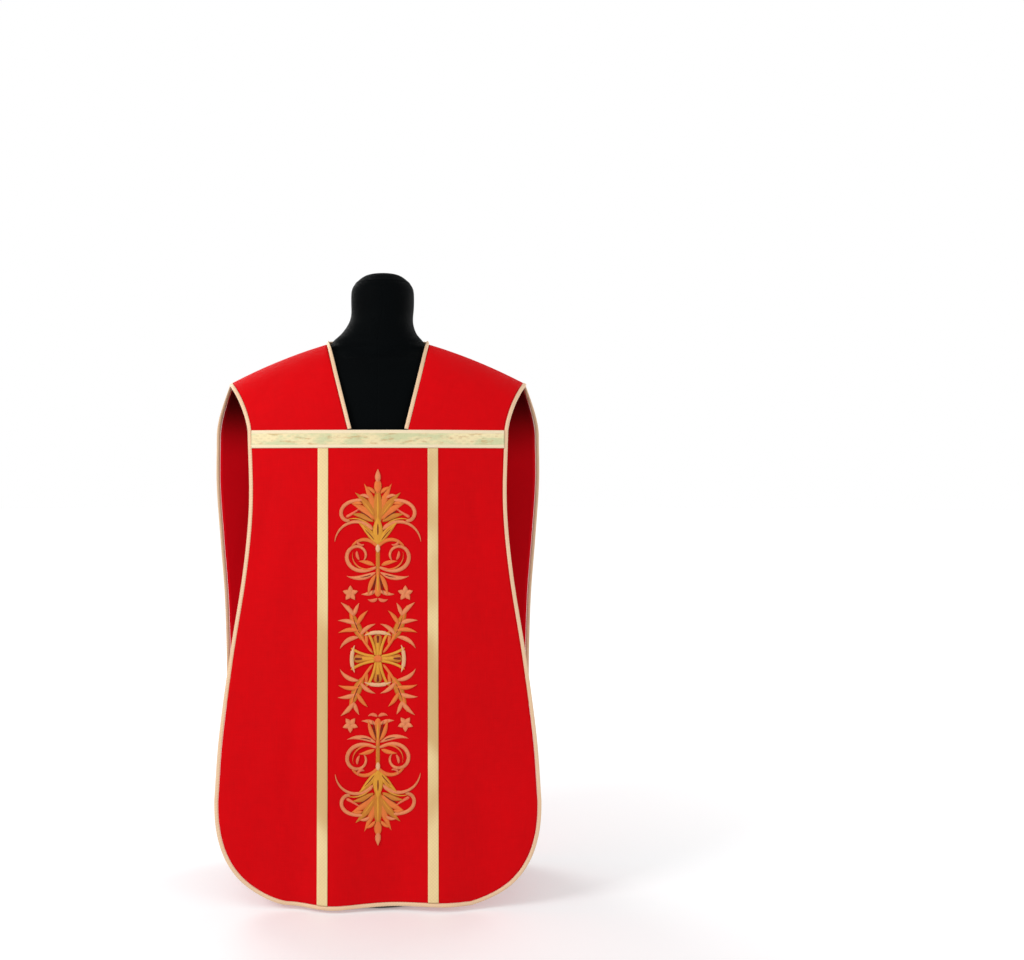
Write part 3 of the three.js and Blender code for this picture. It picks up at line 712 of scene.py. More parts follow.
class Finish:
    """A material under the maker's hand."""

    def __init__(self, name):
        self.material = bpy.data.materials.new(name)
        self.material.use_nodes = True
        self.tree = self.material.node_tree
        self.shader = self.tree.nodes["Principled BSDF"]

    def node(self, kind, settings=(), inputs=()):
        """A node of a type, with its settings and the values or links of its sockets."""
        node = self.tree.nodes.new(kind)
        for key, value in dict(settings).items():
            setattr(node, key, value)
        for key, value in dict(inputs).items():
            self.feed(node.inputs[key], value)
        return node

    def feed(self, socket, value):
        """Links a socket or sets its value."""
        if isinstance(value, Reading):
            value = value.socket
        if isinstance(value, bpy.types.NodeSocket):
            self.tree.links.new(value, socket)
        elif isinstance(value, tuple) and socket.type == "RGBA":
            socket.default_value = (*value, 1)
        else:
            socket.default_value = value

    def math(self, operation, *values):
        """A Math node."""
        node = self.node("ShaderNodeMath", {"operation": operation}, enumerate(values))
        return Reading(self, node.outputs[0])

    def place(self, output="Object"):
        """The three coordinates in metres of the piece."""
        coordinates = self.node("ShaderNodeTexCoord")
        parts = self.node("ShaderNodeSeparateXYZ", (), {0: coordinates.outputs[output]})
        return [Reading(self, part) for part in parts.outputs]

    def uv(self):
        """The two lengths in metres of the piece's own map."""
        return self.place("UV")[:2]

    def noise(self, *axes, detail=2.0, rough=0.5):
        """Soft noise over two or three scaled lengths, about 0.5."""
        vector = self.node("ShaderNodeCombineXYZ", (), enumerate(axes))
        node = self.node("ShaderNodeTexNoise", (), {
            "Vector": vector.outputs[0], "Scale": 1.0, "Detail": detail, "Roughness": rough,
        })
        return Reading(self, node.outputs["Fac"])

    def wave(self, length, period):
        """A sine of a length, between -1 and 1."""
        return self.math("SINE", length * (2 * math.pi / period))

    def smooth(self, reading, low, high):
        """0 below low and 1 above high, with a soft change between."""
        node = self.node("ShaderNodeMapRange", {"interpolation_type": "SMOOTHSTEP"}, {
            "Value": reading, "From Min": low, "From Max": high,
        })
        return Reading(self, node.outputs["Result"])

    def mix(self, factor, first, second, blend="MIX"):
        """A colour between two."""
        node = self.node(
            "ShaderNodeMix", {"data_type": "RGBA", "blend_type": blend, "clamp_factor": True},
            zip(COLOUR_MIX_INPUTS, (factor, first, second)),
        )
        return node.outputs[COLOUR_MIX_RESULT]

    def bump(self, height, depth, strength=1.0):
        """Relief for the shader's normal, with its depth in metres."""
        node = self.node("ShaderNodeBump", (), {
            "Height": height, "Distance": depth, "Strength": strength,
        })
        self.feed(self.shader.inputs["Normal"], node.outputs["Normal"])

    def set(self, **values):
        """Sets or links the shader's sockets, with underscores for spaces."""
        for key, value in values.items():
            self.feed(self.shader.inputs[key.replace("_", " ")], value)
        return self.material


def kept(make):
    """Makes each material once, so that pieces of one stuff share it."""

    def material(*args):
        name = make.__name__.replace("_", " ")
        return bpy.data.materials.get(name) or make(Finish(name), *args)

    return material


def shaded(colour, share):
    """A colour made darker, or lighter above 1."""
    return tuple(min(channel * share, 1.0) for channel in colour)


# How far apart threads, ribs and figures repeat, in metres
WEAVE = 0.0012
WEFT_RIB, SELVEDGE_CORD, SELVEDGE = 0.0011, 0.0036, 0.0026
LOZENGE = 0.0124
DASH, DASH_ROW = 0.015, 0.0048
BRAID_THREAD, STITCH = 0.00085, 0.0009
KNIT_RIB, KNIT_ROW = 0.0013, 0.0011


@kept
def red_cloth(finish, cloth):
    """Fine plain-woven cloth, matte with a faint bloom, slubs both ways and soft mottling."""
    u, v = finish.uv()
    warp = finish.noise(u * 1400, v * 26, detail=1.0)
    weft = finish.noise(u * 26, v * 1400, 3.0, detail=1.0)
    cloud = finish.noise(u * 11, v * 7, detail=4.0, rough=0.6)
    worn = finish.noise(u * 70, v * 52, 8.0, detail=3.0)
    slub = warp * 0.5 + weft * 0.5
    tone = slub * 0.7 + cloud * 0.55 + worn * 0.25 - 0.25
    colour = finish.mix(tone, shaded(cloth.colour, 0.78), shaded(cloth.colour, 1.16))
    height = finish.wave(u, WEAVE) * finish.wave(v, WEAVE) * 0.3 + slub * 0.9 + worn * 0.5
    finish.bump(height, 0.00035, 0.55)
    return finish.set(
        Base_Color=colour, Roughness=0.62 + cloud * 0.18, Sheen_Weight=0.05,
        Sheen_Roughness=0.5, Sheen_Tint=shaded(cloth.colour, 1.3), Specular_IOR_Level=0.06,
    )


@kept
def red_lining(finish, cloth):
    """Darker satin lining: long soft threads and a gentle gloss, with painted shade that turns it near
    black towards the shoulder.
    """
    u, v = finish.uv()
    floats = finish.noise(u * 2200, v * 90, detail=1.0)
    cloud = finish.noise(u * 9, v * 6, 5.0, detail=3.0)
    tone = floats * 0.5 + cloud * 0.5
    colour = finish.mix(tone, shaded(cloth.lining, 0.8), shaded(cloth.lining, 1.2))
    _, _, height = finish.place()
    # Painted shade: the lining's colour darkens to near black towards the top, as if shadowed inside the
    # shoulder
    deep = finish.smooth(height + cloud * 0.03, 0.81, 0.945)
    colour = finish.mix(deep * 0.92, colour, shaded(cloth.lining, 0.06))
    finish.bump(floats * 0.5 + cloud * 2.0, 0.0004, 0.35)
    return finish.set(Base_Color=colour, Roughness=0.6 + floats * 0.14, Specular_IOR_Level=0.04)


def woven_metal(finish, colour, edging, figure, half, border=SELVEDGE):
    """Metallic weft ribs, a woven figure and a denser selvedge at each side."""
    u, v = finish.uv()
    rib = finish.wave(v, WEFT_RIB) * 0.5 + 0.5
    thread = finish.noise(u * 300, v * 2600, detail=1.0)
    patch = finish.noise(u * 40, v * 22, detail=3.0)
    edge = finish.smooth(abs(u), half - border, half - border + 0.0007)
    cord = abs(finish.wave(v, SELVEDGE_CORD)) * edge
    raised = figure(finish, u, v) * (1 - edge)
    tone = raised * 0.4 + thread * 0.3 + patch * 0.6 - 0.12
    shade = finish.mix(tone, shaded(colour, 0.86), shaded(colour, 1.1))
    shade = finish.mix(edge * 0.8, shade, edging)
    finish.bump(rib * 0.35 + raised * 0.9 + cord * 0.8, 0.00035, 0.7)
    return finish.set(
        Base_Color=shade, Metallic=0.12 + raised * 0.16,
        Roughness=0.5 - raised * 0.12 + thread * 0.08, Specular_IOR_Level=0.4,
    )


def lozenges(finish, u, v):
    """A small woven lozenge figure."""
    return finish.smooth(abs(finish.wave(u + v, LOZENGE)) * abs(finish.wave(u - v, LOZENGE)), 0.12, 0.42)


def dashes(finish, u, v):
    """Rows of short woven dashes, each row set half a step from the next."""
    row = finish.math("FLOOR", u / DASH_ROW)
    shift = finish.math("MODULO", abs(row), 2.0) * (DASH / 2)
    bar = finish.smooth(finish.wave(v + shift, DASH), 0.1, 0.45)
    lane = finish.smooth(finish.wave(u, DASH_ROW), -0.5, 0.1)
    return 1 - bar * lane * 0.75


def overlaid(finish, share, colour):
    """Lays a colour over what the material already has, by a share that varies."""
    under = finish.shader.inputs["Base Color"].links[0].from_socket
    finish.set(Base_Color=finish.mix(share, under, tuple(colour)))


@kept
def gold_galloon(finish, trim):
    """Pale gold galloon with a lozenge figure and long stretches of deeper gold, which are painted sheen.
    """
    half = GALLOON_WIDE * MM / 2
    material = woven_metal(finish, trim.galloon, shaded(trim.galloon, 1.1), lozenges, half)
    x, _, z = finish.place()
    # Painted sheen: slow patches of deeper gold stand in for the metal's changing reflection along the
    # galloon
    painted_sheen = finish.smooth(finish.noise(x * 7, z * 4.2, 4.0, detail=2.0), 0.42, 0.6)
    overlaid(finish, painted_sheen * 0.62, trim.deep)
    return material


@kept
def chest_galloon(finish, trim):
    """Wide galloon with cream borders and a mottled sheen that shifts from cream to grey green."""
    half = (BAND_TOP - BAND_FOOT) * MM / 2
    material = woven_metal(finish, trim.band, tuple(trim.cross), dashes, half, border=0.0058)
    u, v = finish.uv()
    inside = 1 - finish.smooth(abs(u), half - 0.0066, half - 0.0052)
    shot = finish.smooth(finish.noise(u * 52, v * 17, 2.0, detail=4.0, rough=0.6), 0.42, 0.6)
    mark = finish.smooth(finish.noise(u * 150, v * 34, 7.0, detail=4.0, rough=0.62), 0.53, 0.66)
    overlaid(finish, shot * inside * 0.7, trim.shot)
    overlaid(finish, mark * inside * 0.5, trim.deep)
    return material


@kept
def cream_galloon(finish, trim):
    """Galloon of the cross, cream down its middle and darker gold towards its edges, which is painted
    shade, with random deeper patches.
    """
    half = GALLOON_WIDE * MM / 2
    material = woven_metal(finish, trim.cross, shaded(trim.cross, 0.94), lozenges, half)
    u, v = finish.uv()
    # Painted shade: the colour deepens towards both edges of the galloon
    rim = finish.smooth(abs(u), half - 0.0075, half + 0.001)
    patch = finish.noise(u * 12, v * 9, 6.0, detail=2.0)
    overlaid(finish, rim * 0.45 + patch * 0.16, trim.deep)
    return material


@kept
def gold_braid(finish, trim):
    """Metallic plait: threads lie aslant; its colour darkens between the threads and in the valleys of
    the plait, which is painted shade.
    """
    u, v = finish.uv()
    threads = finish.wave(u + v * 0.9, BRAID_THREAD) * 0.5 + 0.5
    patch = finish.noise(u * 60, v * 25, detail=3.0)
    strand = abs(finish.wave(v, PLAIT * 2 * MM))
    # Painted shade: the colour follows the thread and plait relief, darkest in its grooves and valleys;
    # the patches are random tone
    tone = threads * 0.3 + patch * 0.55 + strand * 0.35 - 0.15
    colour = finish.mix(tone, shaded(trim.braid, 0.84), shaded(trim.braid, 1.15))
    finish.bump(threads * 0.5 + strand * 0.5, 0.0003, 0.6)
    return finish.set(
        Base_Color=colour, Metallic=0.16, Roughness=0.42 + patch * 0.16, Specular_IOR_Level=0.45
    )


@kept
def black_jersey(finish, form):
    """Fine black knit, matte, with the form's seams pressed into it."""
    u, v = finish.uv()
    rib = finish.wave(u, KNIT_RIB)
    stitch = finish.wave(v + abs(rib) * 0.0004, KNIT_ROW)
    cloud = finish.noise(u * 16, v * 16, detail=3.0)
    x, _, z = finish.place()
    leaning = NECK_LEAN.aside * MM * finish.smooth(z, NECK_LEAN.start * MM, NECK_LEAN.full * MM)
    seam = finish.smooth(abs(x - leaning), 0.0022, 0.0004)
    cap = finish.smooth(abs(z - CAP_SEAM * MM), 0.002, 0.0005)
    line = finish.math("MAXIMUM", seam, cap)
    colour = finish.mix(cloud, shaded(form.cover, 0.7), shaded(form.cover, 1.5))
    finish.bump(rib * 0.25 + stitch * 0.25 - line * 2.0, 0.0003, 0.6)
    return finish.set(Base_Color=colour, Roughness=0.55 + cloud * 0.14, Specular_IOR_Level=0.03)


@kept
def brushed_steel(finish, form):
    """Steel tube brushed round its axis."""
    x, y, z = finish.place()
    brushed = finish.noise(x * 60, y * 60, z * 2400, detail=2.0)
    cloud = finish.noise(x * 30, y * 30, z * 14, detail=3.0)
    colour = finish.mix(brushed * 0.6 + cloud * 0.4, shaded(form.steel, 0.8), shaded(form.steel, 1.1))
    finish.bump(brushed, 0.00008, 0.5)
    return finish.set(Base_Color=colour, Metallic=1.0, Roughness=0.24 + brushed * 0.2)


@kept
def black_coat(finish, form):
    """Satin black powder coat with a fine orange-peel skin."""
    x, y, z = finish.place()
    peel = finish.noise(x * 700, y * 700, z * 700, detail=2.0)
    dust = finish.noise(x * 18, y * 18, z * 18, detail=4.0)
    colour = finish.mix(dust, shaded(form.base, 0.8), shaded(form.base, 1.5))
    finish.bump(peel, 0.00012, 0.6)
    return finish.set(Base_Color=colour, Roughness=0.36 + dust * 0.2)


@kept
def pale_floor(finish, stage):
    """Pale studio floor that glows with painted light, more and more away from the form, until it meets
    the backdrop's white.
    """
    x, y, _ = finish.place()
    # Painted glow: the floor emits light, weakest near the form and full far off, to meet the backdrop's
    # white
    far = finish.smooth(finish.math("SQRT", x * x + y * y), 0.4, 4.5)
    grain = finish.noise(x * 30, y * 30, detail=4.0)
    colour = finish.mix(grain, shaded(stage.floor, 0.985), tuple(stage.floor))
    glow = finish.mix(far, (0.42, 0.42, 0.42), (1.0, 1.0, 1.0))
    finish.bump(grain, 0.0003, 0.2)
    return finish.set(
        Base_Color=colour, Roughness=0.55 + grain * 0.1, Emission_Color=glow, Emission_Strength=0.56,
    )


# Embroidery: satin-stitch strokes, each with its start, heading in degrees and length in millimetres.
# It turns by an angle over its length, later in the stroke where tighten is above 1.
# A placing sets a motif on a panel, turned and scaled, with its strokes as bold as given

Stroke = namedtuple("Stroke", "x y heading length turn tighten wide form thread layer")
Placing = namedtuple("Placing", "motif x z heading size bold")
STITCH_LIFT = 0.72
STITCH_LAYER = 0.42
STITCH_WELD = 2e-6
THINNEST, FULL_HEIGHT_FROM, DOME_POWER = 0.25, 1.6, 0.6

# A stroke has a ring every so many millimetres and degrees of turn, within these numbers of rings
RINGS = SimpleNamespace(length=2.6, turn=12, least=9, most=44)

# The darkest thread marks leaf veins and also stands in as painted shade between and over the leaves
THREADS = {
    "pale": srgb(255, 198, 148),
    "gold": srgb(248, 172, 54),
    "amber": srgb(255, 134, 60),
    "bronze": srgb(226, 138, 44),
    "salmon": srgb(255, 152, 100),
    "rose": srgb(255, 130, 88),
    "dark_vein_and_shade": srgb(134, 34, 8),
    "bright": srgb(255, 206, 84),
}

# The width of a stroke along its length, as a share of its widest
STROKE_FORMS = {
    "leaf": lambda s: np.sin(math.pi * s**0.75) ** 0.9,
    "stem": lambda s: np.clip(np.minimum(s, 1 - s) * 14, 0, 1) ** 0.5,
    "scroll": lambda s: (0.5 + 0.5 * np.sin(math.pi * s**0.6)) * np.clip((1 - s) * 16, 0, 1) ** 0.5,
    "tail": lambda s: (1 - s) ** 0.55 * np.clip(s * 12, 0, 1) ** 0.5,
    "drop": lambda s: (0.25 + 0.75 * s) * np.clip((1 - s) * 6, 0, 1) ** 0.5,
    "bud": lambda s: np.sqrt(np.sin(math.pi * s)),
    "band": lambda s: np.ones_like(s),
}


def strokes(rows):
    """Strokes from rows of their numbers and names."""
    return [Stroke(*row) for row in rows]


def mirrored(rows):
    """Strokes with their copies on the other side of the upright middle."""
    return [
        copy for s in strokes(rows)
        for copy in (s, s._replace(x=-s.x, heading=180 - s.heading, turn=-s.turn))
    ]


def upturned(rows):
    """Strokes with their copies below the level middle."""
    return [
        copy for s in strokes(rows)
        for copy in (s, s._replace(y=-s.y, heading=-s.heading, turn=-s.turn))
    ]


def turned(rows, count):
    """Strokes repeated evenly round the middle."""
    copies = []
    for step in range(count):
        angle = 2 * math.pi * step / count
        cos, sin = math.cos(angle), math.sin(angle)
        for s in strokes(rows):
            x, y = s.x * cos - s.y * sin, s.x * sin + s.y * cos
            copies.append(s._replace(x=x, y=y, heading=s.heading + math.degrees(angle)))
    return copies


# The foot of a palmette: a stem with a volute and leaves at each side
PALMETTE_FOOT = [
    (0, 6, -90, 84, 0, 1, 7.5, "stem", "bronze", 0),
    (0, -36, -90, 50, 0, 1, 15, "drop", "amber", 1),
    (0, -44, -90, 38, 0, 1, 4.6, "leaf", "gold", 2),
    (0, -7, 90, 15, 0, 1, 8.5, "bud", "pale", 3),
    *mirrored([
        (3, -33, -24, 132, 340, 1.6, 7.4, "scroll", "salmon", 1),
        (4, -34, -20, 62, 128, 1.3, 3.2, "leaf", "amber", 2),
        (6, -30, 28, 30, -26, 1, 8, "leaf", "amber", 0),
        (33, -20, 52, 17, 46, 1, 5.5, "bud", "rose", 2),
        (4, -42, -30, 54, 52, 1.3, 9.5, "leaf", "salmon", 0),
        (9, -45, -26, 30, 34, 1.2, 2.6, "leaf", "dark_vein_and_shade", 1),
        (4, -46, -58, 40, -24, 1, 8.5, "leaf", "amber", 2),
        (3, -50, -74, 32, -8, 1, 2.4, "leaf", "dark_vein_and_shade", 3),
        (3, -74, -34, 28, 40, 1.1, 8, "leaf", "salmon", 0),
        (1, -88, -52, 19, 92, 1, 6.5, "leaf", "rose", 1),
    ]),
]

# Its heart: two arms that arch over and a pair of inner scrolls
PALMETTE_HEART = mirrored([
    (9, 33, 58, 92, -142, 0.9, 8.2, "tail", "salmon", 1),
    (14, 41, 50, 50, -74, 0.9, 2.8, "leaf", "gold", 2),
    (1, 3, 60, 56, -122, 1, 7, "scroll", "amber", 1),
    (36, 16, -70, 19, -150, 1, 5, "bud", "rose", 2),
    (4, 12, 56, 38, -16, 1, 2.4, "leaf", "dark_vein_and_shade", 3),
])

TALL_PLUME = [
    (0, 118, 90, 24, 0, 1, 10.5, "leaf", "salmon", 3),
    (0, 98, 90, 26, 0, 1, 14, "bud", "amber", 2),
    (0, 40, 90, 74, 0, 1, 19, "leaf", "bronze", 1),
    (0, 50, 90, 56, 0, 1, 5, "leaf", "gold", 2),
    (0, 6, 90, 54, 0, 1, 20, "leaf", "gold", 2),
    (0, 22, 90, 28, 0, 1, 3.4, "leaf", "dark_vein_and_shade", 3),
    *mirrored([
        (3, 60, 76, 60, -14, 1, 12.5, "leaf", "amber", 0),
        (5, 56, 64, 57, -26, 1, 13.5, "leaf", "bronze", 1),
        (6, 52, 50, 53, -30, 1, 13, "leaf", "amber", 0),
        (8, 48, 36, 42, -34, 1, 11, "leaf", "bronze", 1),
        (7, 58, 62, 38, -20, 1, 2.4, "leaf", "gold", 2),
        (9, 50, 44, 34, -22, 1, 2.4, "leaf", "dark_vein_and_shade", 2),
        (5, 98, 58, 22, -46, 1, 6.8, "leaf", "amber", 2),
        (15, 90, 44, 20, -60, 1, 6.4, "leaf", "salmon", 2),
        (27, 87, -4, 74, -196, 2.1, 6.6, "stem", "salmon", 1),
        (57, 56, 152, 34, -10, 1, 6, "tail", "rose", 0),
        (28, 80, 22, 19, -50, 1, 6.4, "leaf", "amber", 2),
        (3, 10, 62, 50, -26, 1, 12, "leaf", "gold", 2),
        (10, 24, 58, 30, -30, 1, 2.6, "leaf", "bronze", 3),
    ]),
]

SHORT_PLUME = [
    (0, 8, 90, 90, 0, 1, 24, "leaf", "bronze", 1),
    (0, 18, 90, 70, 0, 1, 10, "leaf", "amber", 2),
    (0, 26, 90, 42, 0, 1, 2.8, "leaf", "dark_vein_and_shade", 3),
    *mirrored([
        (3, 20, 68, 62, -24, 1, 11, "leaf", "amber", 0),
        (5, 18, 52, 54, -26, 1, 10.5, "leaf", "bronze", 0),
        (4, 12, 46, 44, -30, 1, 9.5, "leaf", "gold", 2),
        (7, 20, 56, 34, -20, 1, 2.4, "leaf", "dark_vein_and_shade", 3),
        (20, 74, 4, 76, -196, 2.1, 6.6, "stem", "salmon", 1),
        (51, 43, 150, 34, -10, 1, 6, "tail", "rose", 0),
        (16, 72, 34, 19, -50, 1, 6.4, "leaf", "amber", 2),
    ]),
]

TALL_PALMETTE = [*PALMETTE_FOOT, *PALMETTE_HEART, *TALL_PLUME]
SHORT_PALMETTE = [*PALMETTE_FOOT, *PALMETTE_HEART, *SHORT_PLUME]

# A cross with flared arms, and a leaf spray out of each of its corners
FLARED_ARM = [
    (0, 0, 0, 44, 0, 1, 19, "drop", "bronze", 0),
    (4, 0, 0, 26, 0, 1, 7.5, "stem", "gold", 1),
    (25, 0, 0, 17, 0, 1, 7.5, "drop", "dark_vein_and_shade", 1),
    *upturned([
        (5, 4.2, 5, 46, 30, 1.1, 5, "stem", "gold", 2),
        (46.5, 0, 90, 25, 24, 1, 7.5, "tail", "pale", 3),
        (46.5, 0, 90, 14, 14, 1, 7.2, "band", "pale", 3),
    ]),
]
SPRAY = [
    (9, 10, 50, 96, 26, 1, 5, "stem", "amber", 1),
    (26, 32, 62, 64, 10, 1, 17, "leaf", "bronze", 0),
    (19, 24, 78, 28, 22, 1, 6.5, "leaf", "amber", 0),
    (34, 38, 2, 41, -66, 1, 8.2, "leaf", "salmon", 1),
    (33, 50, 14, 38, -40, 1, 8.2, "leaf", "amber", 2),
    (36, 61, 26, 36, -30, 1, 8.2, "leaf", "salmon", 1),
    (42, 76, 56, 34, -22, 1, 8.4, "leaf", "salmon", 2),
    (31, 42, 122, 34, 44, 1, 7.8, "leaf", "salmon", 1),
    (37, 60, 112, 32, 30, 1, 7.8, "leaf", "amber", 2),
    (43, 76, 104, 25, 18, 1, 7.4, "leaf", "salmon", 1),
    (30, 40, 62, 44, 12, 1, 2.4, "leaf", "dark_vein_and_shade", 2),
]
STAR_RAY = (0, 0, 18, 14, 0, 1, 9.5, "leaf", "salmon", 2)
STAR = [s._replace(x=s.x + 49, y=s.y + 116) for s in turned([STAR_RAY], 5)]
CROSS_MOTIF = [
    *turned(FLARED_ARM, 4),
    (-8, 0, 0, 16, 0, 1, 14, "bud", "amber", 3),
    *upturned(mirrored([*SPRAY, *STAR])),
]

# A round medallion with flame rays, and a plain flared cross in it
MEDALLION = [
    *turned([
        (0, 47, 0, 37, -45, 1, 6.4, "band", "bright", 1),
        (0, 40, 0, 31.5, -45, 1, 3.2, "band", "amber", 0),
    ], 8),
    *turned([
        (0, 49, 90, 31, 0, 1, 12, "leaf", "bright", 2),
        (0, 52, 90, 18, 0, 1, 2.8, "leaf", "dark_vein_and_shade", 3),
    ], 8),
    *turned(mirrored([(8.5, 48.5, 70, 24, 34, 1.2, 7, "leaf", "gold", 2)]), 8),
    *turned([
        (0, 3, 90, 30, 0, 1, 15, "drop", "bright", 1),
        (0, 9, 90, 20, 0, 1, 3, "leaf", "dark_vein_and_shade", 2),
    ], 4),
    *turned([(5, 5, 45, 22, 0, 1, 7.5, "leaf", "gold", 0)], 4),
    (-7, 0, 0, 14, 0, 1, 13, "bud", "pale", 3),
]

FRONT_PLACES = [
    Placing(TALL_PALMETTE, 0, 643.5, 0, 1.0, 1.0),
    Placing(CROSS_MOTIF, 0, 448, 0, 1.0, 1.0),
    Placing(TALL_PALMETTE, 0, 258, 180, 0.985, 1.0),
]
BACK_PLACES = [
    Placing(SHORT_PALMETTE, 0, 867, 180, 0.93, 1.22),
    Placing(SHORT_PALMETTE, 165, 690, 90, 0.82, 1.26),
    Placing(SHORT_PALMETTE, -165, 690, -90, 0.82, 1.26),
    Placing(MEDALLION, 0, 688, 0, 0.92, 1.06),
    Placing(SHORT_PALMETTE, 0, 507, 0, 0.88, 1.22),
    Placing(CROSS_MOTIF, 0, 340, 0, 0.86, 1.12),
    Placing(SHORT_PALMETTE, 0, 181, 180, 0.79, 1.22),
]


def stroke_points(stroke, placing, surface, flip, high, around=8):
    """Rings of points round one satin-stitch stroke, laid on the cloth."""
    count = stroke.length / RINGS.length + abs(stroke.turn) / RINGS.turn
    count = int(np.clip(count, RINGS.least, RINGS.most))
    share = np.linspace(0, 1, count + 1)
    heading = np.radians(stroke.heading + stroke.turn * share**stroke.tighten)
    steps = np.stack([np.cos(heading), np.sin(heading)], -1)
    stops = ((steps[1:] + steps[:-1]) / 2).cumsum(axis=0) * stroke.length / count
    middle = np.concatenate([[[0, 0]], stops])
    half = STROKE_FORMS[stroke.form](share) * stroke.wide * placing.bold / 2
    half = np.maximum(half, THINNEST)[:, None]
    turn = whole_turn(around)
    aside = np.cos(turn) * half
    low = np.minimum(half / FULL_HEIGHT_FROM, 1) ** 0.5
    dome = np.maximum(np.sin(turn), 0) ** DOME_POWER * high * low
    a = stroke.x + middle[:, :1] - steps[:, 1:] * aside
    b = stroke.y + middle[:, 1:] + steps[:, :1] * aside
    angle = math.radians(placing.heading)
    cos, sin = math.cos(angle) * placing.size, math.sin(angle) * placing.size
    x, z = placing.x + a * cos - b * sin, placing.z + a * sin + b * cos
    return laid_on(surface, x, z, flip, STITCH_LIFT + stroke.layer * STITCH_LAYER + dome)


def embroidered_piece(name, places, surface, flip, settings):
    """All the motifs of one panel as one piece, with each thread's colour on its faces."""
    bm = bmesh.new()
    tint = bm.loops.layers.float_color.new("thread")
    for placing in places:
        for stroke in strokes(placing.motif):
            points = stroke_points(stroke, placing, surface, flip, settings.height / MM)
            for face in lay_grid(bm, points, closed=True):
                for loop in face.loops:
                    loop[tint] = (*THREADS[stroke.thread], 1)
    bmesh.ops.remove_doubles(bm, verts=bm.verts, dist=STITCH_WELD)
    close_ends(bm)
    finished_piece(name, bm, [gold_thread(settings)])


@kept
def gold_thread(finish, settings):
    """Metallic satin stitch: threads lie side by side across each stroke, with painted shade between the
    stitches.
    """
    u, v = finish.uv()
    thread = finish.node("ShaderNodeAttribute", {"attribute_name": "thread"}).outputs["Color"]
    stitch = finish.wave(v + u * 0.35, STITCH) * 0.5 + 0.5
    patch = finish.noise(u * 130, v * 90, detail=3.0)
    # Painted shade darkens the colour between the stitches; the patches are random tone
    tone = stitch * 0.35 + patch * 0.65
    grey = finish.mix(tone, (0.86, 0.83, 0.8), (1.0, 1.0, 1.0))
    colour = finish.mix(1.0, thread, grey, "MULTIPLY")
    finish.bump(stitch, 0.00035, 0.7)
    return finish.set(
        Base_Color=colour, Metallic=0.04 + patch * 0.1, Roughness=0.42 + patch * 0.16,
        Sheen_Weight=settings.sheen, Specular_IOR_Level=0.28,
    )


# What a user of the add-on may change

def colour_setting(name, description, default):
    """A colour that a user may change."""
    return bpy.props.FloatVectorProperty(
        name=name, description=description, subtype="COLOR", size=3, min=0, max=1, default=default
    )


def power_setting(name, description, default):
    """A lamp's power in watts."""
    return bpy.props.FloatProperty(
        name=name, description=description, default=default, min=0, max=2000, unit="POWER"
    )


class ChasubleClothSettings(bpy.types.PropertyGroup):
    """Cloth of the panels and the lining."""

    colour: colour_setting("Cloth", "Colour of the outer cloth", srgb(224, 2, 12))
    lining: colour_setting("Lining", "Colour of the satin lining", srgb(218, 2, 18))


class ChasubleTrimSettings(bpy.types.PropertyGroup):
    """Galloon and braid."""

    galloon: colour_setting("Galloon", "Colour of the upright galloons", srgb(255, 220, 162))
    # Deep gold is painted sheen along the upright galloons, painted shade at the cross galloon's edges,
    # and the colour of woven marks on the chest band
    deep: colour_setting("Deep gold", "Colour of the galloons where they look deeper", srgb(206, 154, 90))
    band: colour_setting("Chest band", "Colour of the wide galloon over the chest", srgb(248, 228, 180))
    shot: colour_setting("Shot sheen", "Colour that the chest band shifts to", srgb(204, 214, 166))
    cross: colour_setting("Cross galloon", "Colour of the galloon on the back", srgb(255, 236, 202))
    braid: colour_setting("Braid", "Colour of the narrow edge braid", srgb(255, 208, 168))


class ChasubleThreadSettings(bpy.types.PropertyGroup):
    """Embroidery thread."""

    height: bpy.props.FloatProperty(
        name="Height", description="How high a satin stitch stands off the cloth",
        default=1.3 * MM, min=0.2 * MM, max=3 * MM, unit="LENGTH", precision=4,
    )
    sheen: bpy.props.FloatProperty(
        name="Sheen", description="Soft sheen of the thread", default=0.03, min=0, max=1, subtype="FACTOR"
    )


class ChasubleFormSettings(bpy.types.PropertyGroup):
    """Dress form and its stand."""

    cover: colour_setting("Cover", "Colour of the form's jersey cover", srgb(3, 5, 6))
    steel: colour_setting("Pole", "Colour of the brushed pole", srgb(196, 198, 202))
    base: colour_setting("Base", "Colour of the powder-coated base", srgb(26, 26, 27))


class ChasubleStageSettings(bpy.types.PropertyGroup):
    """Floor and lamps."""

    floor: colour_setting("Floor", "Colour of the studio floor", srgb(232, 232, 233))
    key: power_setting("Key lamp", "Power of the large lamp at the front left", 57)
    fill: power_setting("Fill lamp", "Power of the lamp at the front right", 14)
    back: power_setting("Back lamps", "Power of the lamps behind", 38)
    white: bpy.props.FloatProperty(
        name="Backdrop", description="Brightness of the white surroundings", default=0.6, min=0, max=2
    )


# Lamps: name, setting for the power and share of it, place and size in metres
LAMPS = (
    ("key lamp", "key", 1.0, (-2.6, -1.9, 2.3), 1.2),
    ("fill lamp", "fill", 1.0, (2.3, -2.2, 1.4), 1.6),
    ("back lamp left", "back", 1.0, (-1.6, 2.5, 2.3), 1.8),
    ("back lamp right", "back", 0.5, (2.2, 2.0, 1.5), 1.6),
)
LIT_MIDDLE = Vector((0, 0, 0.6))
CAMERA = SimpleNamespace(place=(0, -2.2, 0.766), lens=40.71, sensor=36, shift=0.131)
FLOOR_RADIUS = 30


# Operators: one for each piece or group of like pieces

